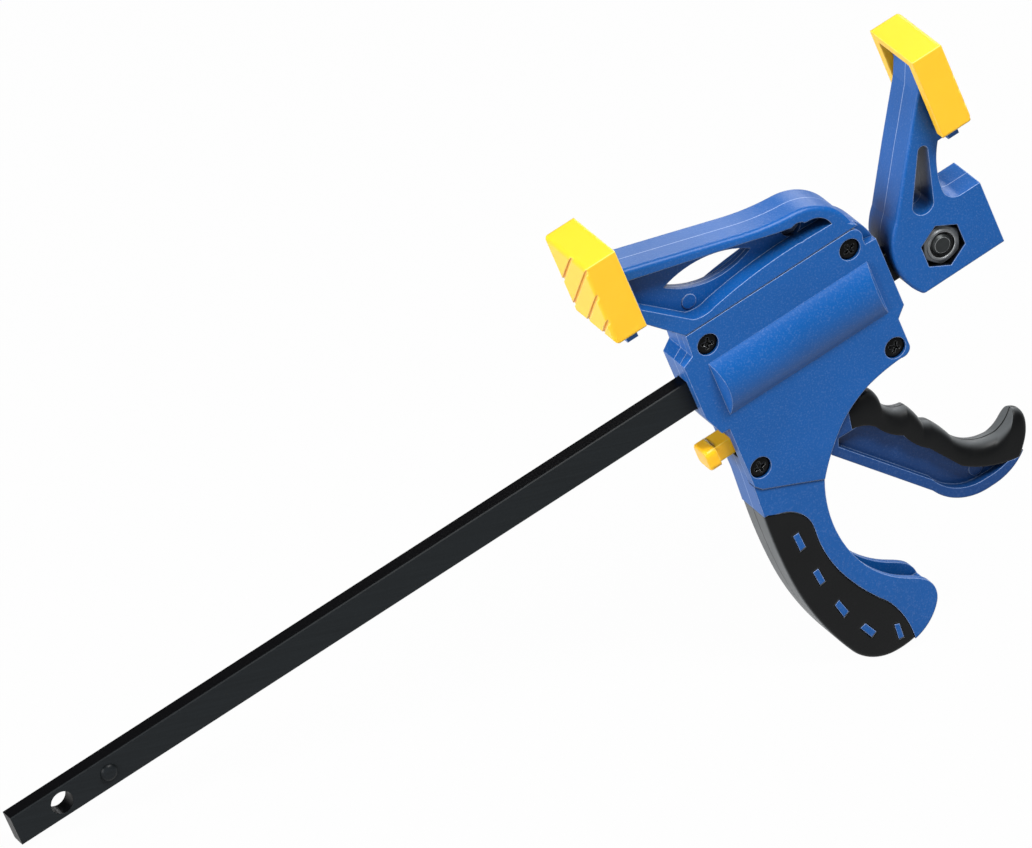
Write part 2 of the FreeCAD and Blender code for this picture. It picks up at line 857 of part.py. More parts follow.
def make_head_plate(body, x_low, x_high, foot):
    """Upright plate at the end of a jaw that its pad slides over."""
    low = foot - S["plate_drop"]
    drawing = Drawing(body, "head_plate").outline(box(x_low, low, x_high, foot + PLATE_HIGH))
    return pad(body, drawing, PLATE_HALF * 2.0, middle=True)


def make_jaw_bolt():
    """Hex bolt from the back of the jaw, its tip flush with the nut."""
    body = new_body("jaw_bolt")
    shank = S["bolt_size"] * 0.5
    tip = shank - S["bolt_chamfer"]
    end = HALF_BAR + S["nut_hex_high"] + S["nut_collar_high"] + S["bolt_chamfer"] * 0.5
    half = Drawing(body, "bolt_half", "XZ_Plane")
    points = corner(NIL, -HALF_BAR) + corner(shank, -HALF_BAR)
    points += corner(shank, end - S["bolt_chamfer"]) + corner(tip, end) + corner(NIL, end)
    turned(body, half.outline(points))
    radius = S["bolt_hex"] * (0.5 / math.cos(math.radians(30.0)))
    head = Drawing(body, "bolt_head", "XY_Plane", -HALF_BAR)
    head.outline(polygon(NIL, NIL, radius, 6, 30.0))
    pad(body, head, S["bolt_head_high"], reverse=True)
    bevel_hexagon(body, "bolt_bevel", radius, -HALF_BAR - S["bolt_head_high"], 1.0)
    return body


def bevel_hexagon(body, name, radius, top, way):
    """Turned bevel that cuts the corners of a hexagon at one of its ends."""
    wide = S["hex_bevel"] * 2.0
    deep = S["hex_bevel"] * way
    cone = Drawing(body, name, "XZ_Plane")
    points = corner(radius - S["hex_bevel"], top) + corner(radius + wide, top)
    points += corner(radius + wide, top + deep * 1.5)
    cone.outline(points if way < 0 else points[::-1])
    turned(body, cone, "Groove")


def make_jaw_nut():
    """Lock nut: a hexagon with a round collar that grips a soft ring."""
    body = new_body("jaw_nut")
    radius = S["bolt_hex"] * (0.5 / math.cos(math.radians(30.0)))
    turn = 30.0 + dict(SIZES)["nut_turn"]
    outer = Drawing(body, "nut_hexagon", "XY_Plane", HALF_BAR)
    outer.outline(polygon(NIL, NIL, radius, 6, turn))
    pad(body, outer, S["nut_hex_high"])
    bevel_hexagon(body, "nut_bevel", radius, HALF_BAR + S["nut_hex_high"], -1.0)
    collar = Drawing(body, "nut_collar", "XY_Plane", HALF_BAR + S["nut_hex_high"])
    collar.circle(NIL, NIL, S["bolt_hex"] * 0.48)
    pad(body, collar, S["nut_collar_high"])
    bore = Drawing(body, "nut_bore").circle(NIL, NIL, S["bolt_size"] * 0.5)
    pocket(body, bore, S["jaw_thick"] + FAR, middle=True)
    seat_at = HALF_BAR + S["nut_hex_high"] + S["nut_collar_high"] - S["ring_high"]
    seat = Drawing(body, "ring_seat", "XY_Plane", seat_at).circle(NIL, NIL, S["ring_outer"] * 0.5)
    pocket(body, seat, S["jaw_thick"], reverse=True)
    return body


def make_nut_insert():
    """Soft locking ring in the collar of the nut."""
    body = new_body("nut_insert")
    seat_at = HALF_BAR + S["nut_hex_high"] + S["nut_collar_high"] - S["ring_high"]
    ring = Drawing(body, "ring", "XY_Plane", seat_at)
    ring.circle(NIL, NIL, S["ring_outer"] * 0.5)
    ring.circle(NIL, NIL, S["ring_inner"] * 0.5)
    pad(body, ring, S["ring_high"])
    return body


def make_pad(name, kind):
    """Soft pad that slips over a head plate, grooved on the face that grips."""
    body = new_body(name)
    half = S["pad_width"] * 0.5
    block = Drawing(body, name + "_block", "XZ_Plane")
    block.outline(box(NIL, -half, S["pad_depth"], half))
    blank = pad(body, block, S["pad_height"], reverse=True)
    front = face_at(blank, Vector(1, 0, 0), S["pad_depth"].value)
    soften(body, blank, [front], S["pad_round"])
    room = S["plate_inset"] + S["plate_thick"]
    side = half - S["pad_wall"]
    hollow = Drawing(body, name + "_hollow", "XZ_Plane", FAR)
    hollow.outline(box(-FAR, -side, room, side))
    pocket(body, hollow, S["pad_height"] - S["pad_roof"] + FAR)
    cuts = Drawing(body, name + "_grooves", "YZ_Plane", S["pad_depth"] - S[kind + "_deep"])
    rise = S[kind + "_wide"] * math.sqrt(0.5)
    reach = (S["pad_height"] + S["pad_width"]).value
    for step in range(1, int(reach / S[kind + "_pitch"].value) + 1):
        start = S[kind + "_pitch"] * (step + 0.25) - half
        low = start - S["pad_width"] - FAR
        high = start + FAR
        across = half + FAR
        cuts.outline(corner(high + rise, -across) + corner(high - rise, -across)
                     + corner(low - rise, across) + corner(low + rise, across))
    pocket(body, cuts, S["pad_depth"], reverse=True)
    return body


def housing_outline():
    """Silhouette of the jaw arm and housing, round to the start of the grip."""
    top = S["house_top"] + S["arm_rise"]
    foot = S["house_top"] + S["arm_rise"] * 0.479
    points = corner(MOVING_PLATE, top) + on_arm(ARM_TOP_SHARES) + on_house(SHOULDER_SHARES)
    points += on_house(GROOVE_SHARES)[1:] + on_house(LEFT_SHARES)
    return points + on_arm(ARM_FOOT_SHARES)[1:] + corner(MOVING_PLATE, foot)


def grip_start():
    """Where the grip runs up into the housing."""
    return HOUSE_AT + S["house_width"] * 0.0743, -S["house_drop"] * 0.708


def spine_run():
    return on_grip(GRIP_SPINE_SHARES) + on_grip(GRIP_HEEL_SHARES)


def skin_outline():
    return spine_run() + on_grip(SKIN_EDGE_SHARES)


def strap_outline():
    """Strip of soft skin that wraps the backstrap and heel."""
    outer = spine_run()
    inner = inset(outer, -S["strap_thick"])
    return outer + inner[::-1]


def nub_outlines():
    return [on_grip(nub) for nub in NUB_SHARES]


def make_bulge(body, name, way):
    """Long low swelling over the bar, arched across and sloped at its ends."""
    half = S["bulge_width"] * 0.5
    start = HOUSE_AT + S["bulge_start"]
    end = start + BULGE_LENGTH
    base = Drawing(body, name + "_base", "XY_Plane", HALF_HOUSE * way)
    base.outline(box(start, -half, end, half))
    pad(body, base, S["bulge_high"], reverse=way < 0, slope=-S["bulge_slope"])
    low = HALF_HOUSE * way
    crest = (HALF_HOUSE + S["bulge_high"]) * way
    out = (HALF_HOUSE + S["bulge_high"] + FAR) * way
    arch = Drawing(body, name + "_arch", "YZ_Plane", start - FAR)
    arch.outline(corner(-half, low) + bend(NIL, crest) + corner(half, low)
                 + corner(half, out) + corner(-half, out))
    pocket(body, arch, BULGE_LENGTH + FAR * 2.0, reverse=True)


def make_side_bevels(body, name, way):
    """Wide shallow bevels down the two sides of the housing."""
    wide = S["side_bevel_wide"]
    deep = S["side_bevel_deep"]
    right = HOUSE_AT + S["house_width"]
    for side, edge, out in (("left", HOUSE_AT, -1.0), ("right", right, 1.0)):
        cut = Drawing(body, "%s_%s_bevel" % (name, side), "XZ_Plane", S["house_drop"])
        near = edge - wide * out
        far = edge + wide * out
        low = (HALF_HOUSE - deep * 2.0) * way
        high = HALF_HOUSE * way
        top = (HALF_HOUSE + deep) * way
        points = corner(near, high) + corner(far, low) + corner(far, top) + corner(near, top)
        cut.outline(points if out * way > 0 else points[::-1])
        pocket(body, cut, S["house_drop"] + S["house_top"])


def make_bore(body, name):
    """Round room for the springs along the bar."""
    bore = Drawing(body, name, "YZ_Plane", BORE_AT).circle(NIL, NIL, S["bore_radius"])
    pocket(body, bore, BORE_LENGTH, reverse=True)


def make_jaw_body():
    """Jaw arm, housing back and grip in one moulding."""
    body = new_body("jaw_body")
    head = Drawing(body, "housing").outline(housing_outline())
    block = pad(body, head, S["house_thick"], middle=True)
    spine = corner(MOVING_PLATE, S["house_top"] + S["arm_rise"]) + on_arm(ARM_TOP_SHARES)
    soften(body, block, rim_edges(block, spine, (HALF_HOUSE, -HALF_HOUSE)), S["spine_round"])
    make_side_bevels(body, "back", -1.0)
    top_x, top_y = grip_start()
    grip = Drawing(body, "grip")
    grip.outline(corner(top_x, top_y) + spine_run() + on_grip(GRIP_TOE_SHARES))
    pad(body, grip, S["grip_thick"], middle=True)
    make_bulge(body, "back_bulge", -1.0)
    plate_low = MOVING_PLATE - S["plate_thick"]
    make_head_plate(body, plate_low, MOVING_PLATE, S["moving_pad_foot"])
    for name, way in (("web_front", 1.0), ("web_back", -1.0)):
        web = Drawing(body, name, "XY_Plane", S["web_thick"] * (0.5 * way))
        web.outline(on_arm(ARM_WEB_SHARES))
        pocket(body, web, S["house_thick"], reverse=way > 0)
    lens = Drawing(body, "lens_window").outline(on_arm(LENS_SHARES))
    pocket(body, lens, S["house_thick"], middle=True)
    hole_x, hole_y = on_arm(RECESS_SHARE)[0][:2]
    recess = Drawing(body, "rim_recess", "XY_Plane", NIL).circle(hole_x, hole_y, S["recess_radius"])
    pocket(body, recess, S["house_thick"], reverse=True)
    mark_x, mark_y = on_arm(MARK_SHARE)[0][:2]
    mark = Drawing(body, "web_mark").circle(mark_x, mark_y, S["mark_radius"])
    pad(body, mark, S["web_thick"] + S["mark_rise"] * 2.0, middle=True)
    make_cover_seat(body)
    hollow = Drawing(body, "hollow", "XY_Plane", PARTING)
    hollow.outline(on_house(CAVITY_SHARES))
    pocket(body, hollow, PARTING + HALF_CAVITY)
    channel = Drawing(body, "grip_channel").outline(on_grip(CHANNEL_SHARES))
    pocket(body, channel, S["channel_wide"], middle=True)
    make_bore(body, "back_bore")
    make_inner_posts(body)
    make_bar_slot(body)
    pin = Drawing(body, "pin_seat", "XY_Plane", -HALF_CAVITY)
    pin.circle(PIVOT_X, PIVOT_Y, S["pin_size"] * 0.5)
    pocket(body, pin, S["pin_seat"])
    make_button_hole(body)
    make_skin_seat(body)
    return body


def make_cover_seat(body):
    """Step that the side cover lies in, a fine gap wider than the cover."""
    left = HOUSE_AT - FAR
    right = HOUSE_AT + S["house_width"] + FAR
    groove = on_house(GROOVE_SHARES)
    seat = Drawing(body, "cover_seat", "XY_Plane", PARTING)
    top = S["house_top"]
    seat.outline(corner(left, top) + corner(right, top) + corner(right, groove[0][1])
                 + groove + corner(left, groove[-1][1]))
    pocket(body, seat, S["house_thick"], reverse=True)


def make_inner_posts(body):
    """Screw posts, the notch that holds the brake plate and the spring rib."""
    posts = Drawing(body, "screw_posts", "XY_Plane", -HALF_CAVITY)
    for x, y in screw_spots()[:3]:
        posts.circle(x, y, S["post_radius"])
    pad(body, posts, PARTING + HALF_CAVITY)
    top = S["house_top"] - S["cover_thick"] * 0.5
    notch = S["brake_thick"] * 0.5 + S["plate_play"] * 2.0
    middle = BRAKE_AT
    rib = S["rib_thick"]
    ribs = Drawing(body, "inner_ribs", "XY_Plane", -HALF_CAVITY)
    low = S["brake_top"] - rib
    ribs.outline(box(middle - notch - rib, low, middle - notch, top))
    ribs.outline(box(middle + notch, low, middle + notch + rib, top))
    start = RIB_AT
    ribs.outline(box(start, -S["rib_drop"], start + rib, top))
    pad(body, ribs, PARTING + HALF_CAVITY)
    bores = Drawing(body, "screw_bores", "XY_Plane", PARTING)
    for x, y in screw_spots():
        bores.circle(x, y, S["screw_shank"] * 0.5)
    pocket(body, bores, S["screw_length"] - S["cover_thick"] + S["screw_sink_deep"])


def make_bar_slot(body):
    """Slot that the bar runs through."""
    half = HALF_HEIGHT + S["slot_play"]
    slot = Drawing(body, "bar_slot")
    slot.outline(box(HOUSE_AT - FAR, -half, HOUSE_AT + S["house_width"] + FAR, half))
    pocket(body, slot, S["bar_thick"] + S["slot_play"] * 2.0, middle=True)


def make_button_hole(body):
    """Upright hole in the left wall for the stem of the release button."""
    start = HOUSE_AT - S["overrun"]
    half = (S["stem_wide"] * 0.5) + S["slot_play"]
    hole = Drawing(body, "button_hole", "YZ_Plane", start)
    stem_top = S["stem_high"] * 0.5 + S["stem_lift"] - S["button_centre"]
    hole.outline(box(-S["button_hole_foot"], -half, stem_top + S["slot_play"], half))
    pocket(body, hole, S["button_head_at"] + S["cover_thick"] + FAR * 2.0, reverse=True)


def make_skin_seat(body):
    """Shallow seats for the soft skin, with the five nubs left standing."""
    half = S["grip_thick"] * 0.5
    for name, way in (("skin_seat_front", 1.0), ("skin_seat_back", -1.0)):
        seat = Drawing(body, name, "XY_Plane", (half - S["skin_thick"]) * way)
        seat.outline(skin_outline())
        for nub in nub_outlines():
            seat.outline(nub)
        pocket(body, seat, S["skin_thick"] + FAR, reverse=way > 0)
    strap = Drawing(body, "strap_seat").outline(strap_outline())
    pocket(body, strap, S["grip_thick"] + FAR, middle=True)


def make_grip_overmould():
    """Soft skin over the sides, backstrap and heel of the grip."""
    body = new_body("grip_overmould")
    half = S["grip_thick"] * 0.5
    run = skin_outline()
    edge = inset(run, -S["skin_gap"])[len(spine_run()):]
    strap = pad(body, Drawing(body, "strap").outline(strap_outline()), S["grip_thick"], middle=True)
    soften(body, strap, rim_edges(strap, spine_run(), (half, -half)), S["grip_round"])
    for name, way in (("skin_front", 1.0), ("skin_back", -1.0)):
        skin = Drawing(body, name, "XY_Plane", (half - S["skin_thick"]) * way)
        skin.outline(inset(spine_run(), -S["strap_thick"]) + edge)
        for nub in nub_outlines():
            skin.outline(inset(nub[-1:] + nub + nub[:1], -S["skin_gap"])[1:-1])
        pad(body, skin, S["skin_thick"], reverse=way < 0)
    return body


def cover_outline():
    """The housing's outline below the arm, a fine gap inside its seat."""
    gap = S["cover_gap"]
    groove = [(x, y + gap, kind) for x, y, kind in on_house(GROOVE_SHARES)]
    shoulder = [(x, y - gap, kind) for x, y, kind in on_house(COVER_SHOULDER_SHARES)[:3]]
    shoulder += on_house(COVER_SHOULDER_SHARES)[3:]
    left = on_house(LEFT_SHARES)
    return (shoulder + on_house(SHOULDER_SHARES)[2:-1] + groove + left[:-1]
            + corner(left[-1][0], S["house_top"] - gap))


def make_side_cover():
    """Screwed side cover with its long bulge over the bar."""
    body = new_body("side_cover")
    sheet = Drawing(body, "cover", "XY_Plane", PARTING).outline(cover_outline())
    pad(body, sheet, S["cover_thick"])
    make_side_bevels(body, "front", 1.0)
    make_bulge(body, "front_bulge", 1.0)
    hollow = Drawing(body, "cover_hollow", "XY_Plane", PARTING)
    hollow.outline(on_house(CAVITY_SHARES))
    pocket(body, hollow, HALF_CAVITY - PARTING, reverse=True)
    make_bore(body, "cover_bore")
    sinks = Drawing(body, "screw_sinks", "XY_Plane", HALF_HOUSE - S["screw_sink_deep"])
    bores = Drawing(body, "cover_bores")
    for x, y in screw_spots():
        sinks.circle(x, y, S["screw_sink"] * 0.5)
        bores.circle(x, y, S["screw_shank"] * 0.5)
    pocket(body, sinks, S["house_thick"], reverse=True)
    pocket(body, bores, S["house_thick"], reverse=True)
    pin = Drawing(body, "cover_pin_seat", "XY_Plane", NIL)
    pin.circle(PIVOT_X, PIVOT_Y, S["pin_size"] * 0.5)
    pocket(body, pin, HALF_CAVITY + S["pin_seat"], reverse=True)
    return body


def make_cover_screws():
    """Four pan-head screws that hold the side cover."""
    body = new_body("cover_screws")
    seat = HALF_HOUSE - S["screw_sink_deep"]
    heads = Drawing(body, "screw_heads", "XY_Plane", seat)
    shanks = Drawing(body, "screw_shanks", "XY_Plane", seat)
    for x, y in screw_spots():
        heads.circle(x, y, S["screw_head"] * 0.5)
        shanks.circle(x, y, S["screw_shank"] * 0.5)
    pad(body, heads, S["screw_head_high"])
    pad(body, shanks, S["screw_length"], reverse=True)
    return body


def make_trigger_pin():
    """Pin between the two walls that the trigger turns on."""
    body = new_body("trigger_pin")
    pin = Drawing(body, "pin").circle(PIVOT_X, PIVOT_Y, S["pin_size"] * 0.5)
    pad(body, pin, (HALF_CAVITY + S["pin_seat"]) * 2.0, middle=True)
    return body


def trigger_outline():
    """Trigger without its soft skin, with the nose that pushes the drive plates."""
    nose_x = PIVOT_X - S["nose_back"]
    nose_y = PIVOT_Y + S["nose_rise"]
    nose = S["nose_radius"]
    boss = S["boss_radius"]
    points = corner(nose_x - nose, nose_y) + bend(nose_x, nose_y + nose)
    points += corner(nose_x + nose, nose_y) + corner(nose_x + nose, PIVOT_Y + boss * 1.18)
    points += corner(PIVOT_X + boss, PIVOT_Y)
    points += on_trigger(RUBBER_TOP_SHARES)[:1] + on_trigger(RUBBER_EDGE_SHARES)[::-1]
    points += on_trigger(TRIGGER_RIM_SHARES)[::-1]
    return points + corner(PIVOT_X - boss, PIVOT_Y)


def core_outline():
    return on_trigger(RUBBER_EDGE_SHARES) + on_trigger(CORE_SHARES)[::-1]


def make_trigger():
    """Squeeze trigger with sunk sides and a core that its soft skin wraps."""
    body = new_body("trigger")
    pad(body, Drawing(body, "trigger_side").outline(trigger_outline()), S["trigger_thick"], middle=True)
    for name, way in (("trigger_web_front", 1.0), ("trigger_web_back", -1.0)):
        web = Drawing(body, name, "XY_Plane", S["trigger_web"] * (0.5 * way))
        web.outline(on_trigger(TRIGGER_WEB_SHARES))
        pocket(body, web, S["trigger_thick"], reverse=way > 0)
    mark_x, mark_y = on_trigger(TRIGGER_MARK_SHARE)[0][:2]
    mark = Drawing(body, "trigger_mark").circle(mark_x, mark_y, S["mark_radius"])
    pad(body, mark, S["trigger_web"] + S["mark_rise"] * 2.0, middle=True)
    pad(body, Drawing(body, "trigger_core").outline(core_outline()), S["core_thick"], middle=True)
    bore = Drawing(body, "trigger_bore")
    bore.circle(PIVOT_X, PIVOT_Y, S["pin_size"] * 0.5 + S["pin_play"])
    pocket(body, bore, S["trigger_thick"] + FAR, middle=True)
    return body


def make_trigger_overmould():
    """Soft skin with finger waves along the top of the trigger."""
    body = new_body("trigger_overmould")
    rim = on_trigger(TRIGGER_RIM_SHARES)
    points = on_trigger(RUBBER_EDGE_SHARES) + on_trigger(RUBBER_TOP_SHARES) + rim[-1:]
    pad(body, Drawing(body, "wave").outline(points), S["trigger_thick"], middle=True)
    pocket(body, Drawing(body, "wave_core").outline(core_outline()), S["core_thick"], middle=True)
    return body


def make_plate(name, x_mid, y_mid, thick, low, high, wide, lean, window_mid):
    """Flat steel plate across the bar, leaning by an angle, with a window for the bar.

    The plate is drawn upright about its own middle; its placement leans it.
    """
    body = new_body(name)
    face = Drawing(body, name + "_face", "YZ_Plane", thick * -0.5)
    half = wide * 0.5
    face.outline(box(low, -half, high, half))
    spread_out = math.sin(math.radians(lean))
    drawn_in = 1.0 / math.cos(math.radians(lean))
    window = (HALF_HEIGHT + thick * (0.5 * spread_out)) * drawn_in + S["plate_play"] * 0.5
    side = HALF_BAR + S["slot_play"]
    face.outline(box(window_mid - window, -side, window_mid + window, side))
    pad(body, face, thick)
    return body, FreeCAD.Placement(Vector(x_mid, y_mid, 0), FreeCAD.Rotation(Vector(0, 0, 1), -lean))


def make_drive_plates():
    """Two plates that the trigger pushes along the bar."""
    lean = dict(SIZES)["drive_lean"]
    step = S["drive_thick"].value / math.cos(math.radians(lean))
    tilt = math.tan(math.radians(lean))
    nose_x = PIVOT_X - S["nose_back"] + S["nose_radius"] + S["plate_play"]
    nose_y = PIVOT_Y + S["nose_rise"]
    first = nose_x.value + step * 0.5 + (S["drive_height"].value * 0.5 + S["plate_play"].value) * tilt
    made = []
    half = S["drive_height"] * 0.5
    for name, place in (("drive_plate_left", first), ("drive_plate_right", first + step)):
        made.append(make_plate(name, place, 0, S["drive_thick"], -half, half,
                               S["drive_wide"], lean, NIL))
    return made


def make_brake_plate():
    """Plate that jams on the bar until the button pushes its foot upright."""
    lean = dict(SIZES)["brake_lean"]
    x_mid = (BRAKE_AT).value
    y_mid = S["brake_top"].value
    window_mid = -S["brake_top"] * (1.0 / math.cos(math.radians(lean)))
    return make_plate("brake_plate", x_mid, y_mid, S["brake_thick"], -S["brake_drop"],
                      S["brake_thick"] * 0.5, S["brake_wide"], lean, window_mid)


def coil_point(turns, start, pitch, radius, angle):
    """Point and direction on a helix along x at an angle in radians."""
    place = start + pitch * angle / (2.0 * math.pi)
    point = Vector(place, radius * math.cos(angle), radius * math.sin(angle))
    way = Vector(pitch / (2.0 * math.pi), -radius * math.sin(angle), radius * math.cos(angle))
    return point, way.normalize()


def arc_between(start, way, end):
    """Arc that leaves a point along a direction and reaches another point."""
    chord = end - start
    across = chord - way * chord.dot(way)
    radius = chord.dot(chord) / (2.0 * across.Length)
    middle = start + across.normalize() * radius
    half_way = ((start - middle) + (end - middle)).normalize()
    return Part.Arc(start, middle + half_way * radius, end).toShape()


def make_spring(name, start, end, turns):
    """Coil round the bar, swept on pairs of arcs that meet smoothly every quarter turn."""
    wire = S["wire_size"].value
    radius = S["coil_radius"].value
    pitch = (end - start - wire) / turns
    first = start + wire * 0.5
    steps = int(turns * 4)
    edges = []
    for step in range(steps):
        a, way_a = coil_point(turns, first, pitch, radius, math.pi * 0.5 * step)
        b, way_b = coil_point(turns, first, pitch, radius, math.pi * 0.5 * (step + 1))
        chord = b - a
        one = chord.dot(chord)
        two = chord.dot(way_a + way_b)
        three = 2.0 * (1.0 - way_a.dot(way_b))
        reach = (math.sqrt(two * two + three * one) - two) / three
        joint = (a + way_a * reach + b - way_b * reach) * 0.5
        edges.append(arc_between(a, way_a, joint))
        edges.append(arc_between(joint, (joint - a - way_a * reach).normalize(), b))
    path = Part.Wire(edges)
    start_point, start_way = coil_point(turns, first, pitch, radius, 0.0)
    profile = Part.Wire(Part.Circle(start_point, start_way, wire * 0.5).toShape())
    tube = Part.BRepOffsetAPI.MakePipeShell(path)
    tube.add(profile)
    tube.build()
    tube.makeSolid()
    print("least gap of", name, "to itself", round(pitch - wire, 3))
    feature = doc.addObject("Part::Feature", name)
    feature.Label = name
    feature.Shape = tube.shape()
    return feature


def make_release_button():
    """Yellow button: rounded head, stem through the wall and a flange inside it."""
    body = new_body("release_button")
    middle = -S["button_centre"]
    head_at = HOUSE_AT - S["button_head_at"]
    high = S["button_head_high"] * 0.5
    wide = S["button_head_wide"] * 0.5
    head = Drawing(body, "button_head", "YZ_Plane", head_at)
    head.outline(rounded(middle - high, -wide, middle + high, wide, S["button_round"]))
    knob = pad(body, head, S["button_head_thick"])
    soften(body, knob, [face_at(knob, Vector(-1, 0, 0), -head_at.value)], S["button_edge"])
    wall_at = on_house(LEFT_SHARES)[0][0] + S["cover_thick"] * 0.6
    stem_middle = middle + S["stem_lift"]
    half_high = S["stem_high"] * 0.5
    half_wide = S["stem_wide"] * 0.5
    stem = Drawing(body, "button_stem", "YZ_Plane", head_at + S["button_head_thick"] * 0.5)
    stem.outline(box(stem_middle - half_high, -half_wide, stem_middle + half_high, half_wide))
    flange_at = wall_at + S["plate_play"]
    flange_out = flange_at + S["flange_thick"]
    pad(body, stem, flange_out - head_at - S["button_head_thick"] * 0.5 + S["flange_thick"] * 0.4)
    flange = Drawing(body, "button_flange", "YZ_Plane", flange_at)
    lip = S["flange_lip"]
    flange.outline(box(stem_middle - half_high - lip, -half_wide - lip * 0.5,
                       stem_middle + half_high + lip, half_wide + lip * 0.5))
    pad(body, flange, S["flange_thick"])
    return body


def stance_angle(solid_body):
    """Angle that sets the bar's end corner and the heel of the grip on one level."""
    steepest = 0.0
    for edge in solid_body.Shape.Edges:
        for point in edge.discretize(12):
            across = point.x - BAR_LEFT.value
            down = -point.y - HALF_HEIGHT.value
            if across > HOUSE_AT.value:
                steepest = max(steepest, math.atan2(down, across))
    return steepest


def stance_placement(angle):
    """Stand the drawing upright: x leans along the bench and z faces the viewer."""
    cosine = math.cos(angle)
    sine = math.sin(angle)
    matrix = FreeCAD.Matrix(cosine, -sine, 0, 0, 0, 0, -1, 0, sine, cosine, 0, 0, 0, 0, 0, 1)
    return FreeCAD.Placement(matrix)


def shift(x, y, turn=0.0):
    return FreeCAD.Placement(Vector(x, y, 0), FreeCAD.Rotation(Vector(0, 1, 0), turn))


home = FreeCAD.Placement()
bolt_home = shift(BOLT_AT.value, 0)
placed = [
    (make_bar(), home),
    (make_stop_stud(), shift(S["hang_to_stud"].value, 0)),
    (make_fixed_jaw(), home),
    (make_jaw_bolt(), bolt_home),
    (make_jaw_nut(), bolt_home),
    (make_nut_insert(), bolt_home),
    (make_pad("fixed_pad", "ridge"), shift(FIXED_PAD_AT.value, S["fixed_pad_foot"].value)),
    (make_pad("moving_pad", "groove"), shift(MOVING_PAD_AT.value, S["moving_pad_foot"].value, 180.0)),
]
jaw_body = make_jaw_body()
placed += [
    (jaw_body, home),
    (make_side_cover(), home),
    (make_cover_screws(), home),
    (make_grip_overmould(), home),
    (make_trigger_pin(), home),
    (make_trigger(), home),
    (make_trigger_overmould(), home),
    (make_release_button(), home),
]
placed += make_drive_plates()
placed.append(make_brake_plate())
bore_end = (BORE_AT + BORE_LENGTH).value
brake_start = (BRAKE_AT + S["brake_thick"] * 0.5 + S["plate_play"]).value
brake_end = (RIB_AT).value
drive_lean = math.radians(dict(SIZES)["drive_lean"])
drive_face = placed[-2][1].Base.x + S["drive_thick"].value * 0.5 / math.cos(drive_lean)
drive_start = drive_face + S["coil_radius"].value * math.tan(drive_lean) + S["plate_play"].value
placed.append((make_spring("drive_spring", drive_start, bore_end, S["drive_turns"].value), home))
placed.append((make_spring("brake_spring", brake_start, brake_end, S["brake_turns"].value), home))

stance = stance_placement(stance_angle(jaw_body))
print("stance angle in degrees", round(math.degrees(stance_angle(jaw_body)), 4))
for piece, own in placed:
    piece.Placement = stance.multiply(own)
doc.recompute()

faults = 0
for thing in doc.Objects:
    if "Invalid" in thing.State or "Error" in thing.State:
        print("object fault", thing.Name, thing.State)
        faults += 1
for piece, own in placed:
    shape = piece.Shape
    if shape.isNull() or not shape.isValid() or shape.Volume <= 0:
        print("shape fault", piece.Label)
        faults += 1
if faults:
    raise RuntimeError("the model has faults")
for piece, own in placed:
    piece.Shape.exportStep("parts/%s.step" % piece.Label)
    print(piece.Label, len(piece.Shape.Solids), round(piece.Shape.Volume, 1))
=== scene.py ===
import math
import bpy
import numpy as np
from mathutils import Matrix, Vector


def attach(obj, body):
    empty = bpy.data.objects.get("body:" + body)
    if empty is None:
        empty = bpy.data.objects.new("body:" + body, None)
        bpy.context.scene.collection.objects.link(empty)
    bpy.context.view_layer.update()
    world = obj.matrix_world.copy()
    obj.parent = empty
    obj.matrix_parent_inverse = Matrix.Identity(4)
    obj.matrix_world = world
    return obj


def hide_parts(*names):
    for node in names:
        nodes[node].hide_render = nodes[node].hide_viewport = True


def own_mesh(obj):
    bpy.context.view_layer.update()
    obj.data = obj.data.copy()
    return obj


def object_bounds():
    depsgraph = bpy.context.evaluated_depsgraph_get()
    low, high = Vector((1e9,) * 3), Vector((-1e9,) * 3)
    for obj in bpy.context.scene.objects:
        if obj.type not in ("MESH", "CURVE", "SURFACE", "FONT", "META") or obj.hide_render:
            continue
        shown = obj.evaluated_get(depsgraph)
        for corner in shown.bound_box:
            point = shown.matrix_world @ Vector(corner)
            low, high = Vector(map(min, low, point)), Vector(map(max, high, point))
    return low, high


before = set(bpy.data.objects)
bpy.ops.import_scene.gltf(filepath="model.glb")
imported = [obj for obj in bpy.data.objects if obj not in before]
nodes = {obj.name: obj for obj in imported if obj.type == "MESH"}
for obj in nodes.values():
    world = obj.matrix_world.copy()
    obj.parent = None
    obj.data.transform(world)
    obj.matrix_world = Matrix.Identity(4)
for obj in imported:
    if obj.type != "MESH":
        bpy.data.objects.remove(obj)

cad_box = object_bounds()

# Studio. The clamp is photographed from its left front, a little above, with a very long
# lens, on white. It stands here on a pale bench top, on the bar's end and the grip's heel,
# under broad soft lights high in front and at the left, and a weaker one behind at the right.
STANCE = math.radians(22.7574)


def to_bench(x, y, z):
    """Metres along the bar, toward the jaws and toward the viewer, turned into scene axes."""
    x, y, z = (np.asarray(v, dtype=float) for v in (x, y, z))
    c, s = math.cos(STANCE), math.sin(STANCE)
    return np.stack(np.broadcast_arrays(x * c - y * s, -z, x * s + y * c), axis=-1)


def aim_rotation(direction, roll=0.0):
    """Rotation matrix that looks along a direction, with z up, rolled in the picture."""
    back = -np.array(direction, dtype=float)
    back /= np.linalg.norm(back)
    right = np.cross((0.0, 0.0, 1.0), back)
    right /= np.linalg.norm(right)
    up = np.cross(back, right)
    c, s = math.cos(roll), math.sin(roll)
    right, up = right * c + up * s, up * c - right * s
    return np.array((right, up, back)).T


def place(thing, spot, direction, roll=0.0):
    matrix = np.eye(4)
    matrix[:3, :3] = aim_rotation(direction, roll)
    matrix[:3, 3] = spot
    thing.matrix_world = Matrix(matrix.tolist())


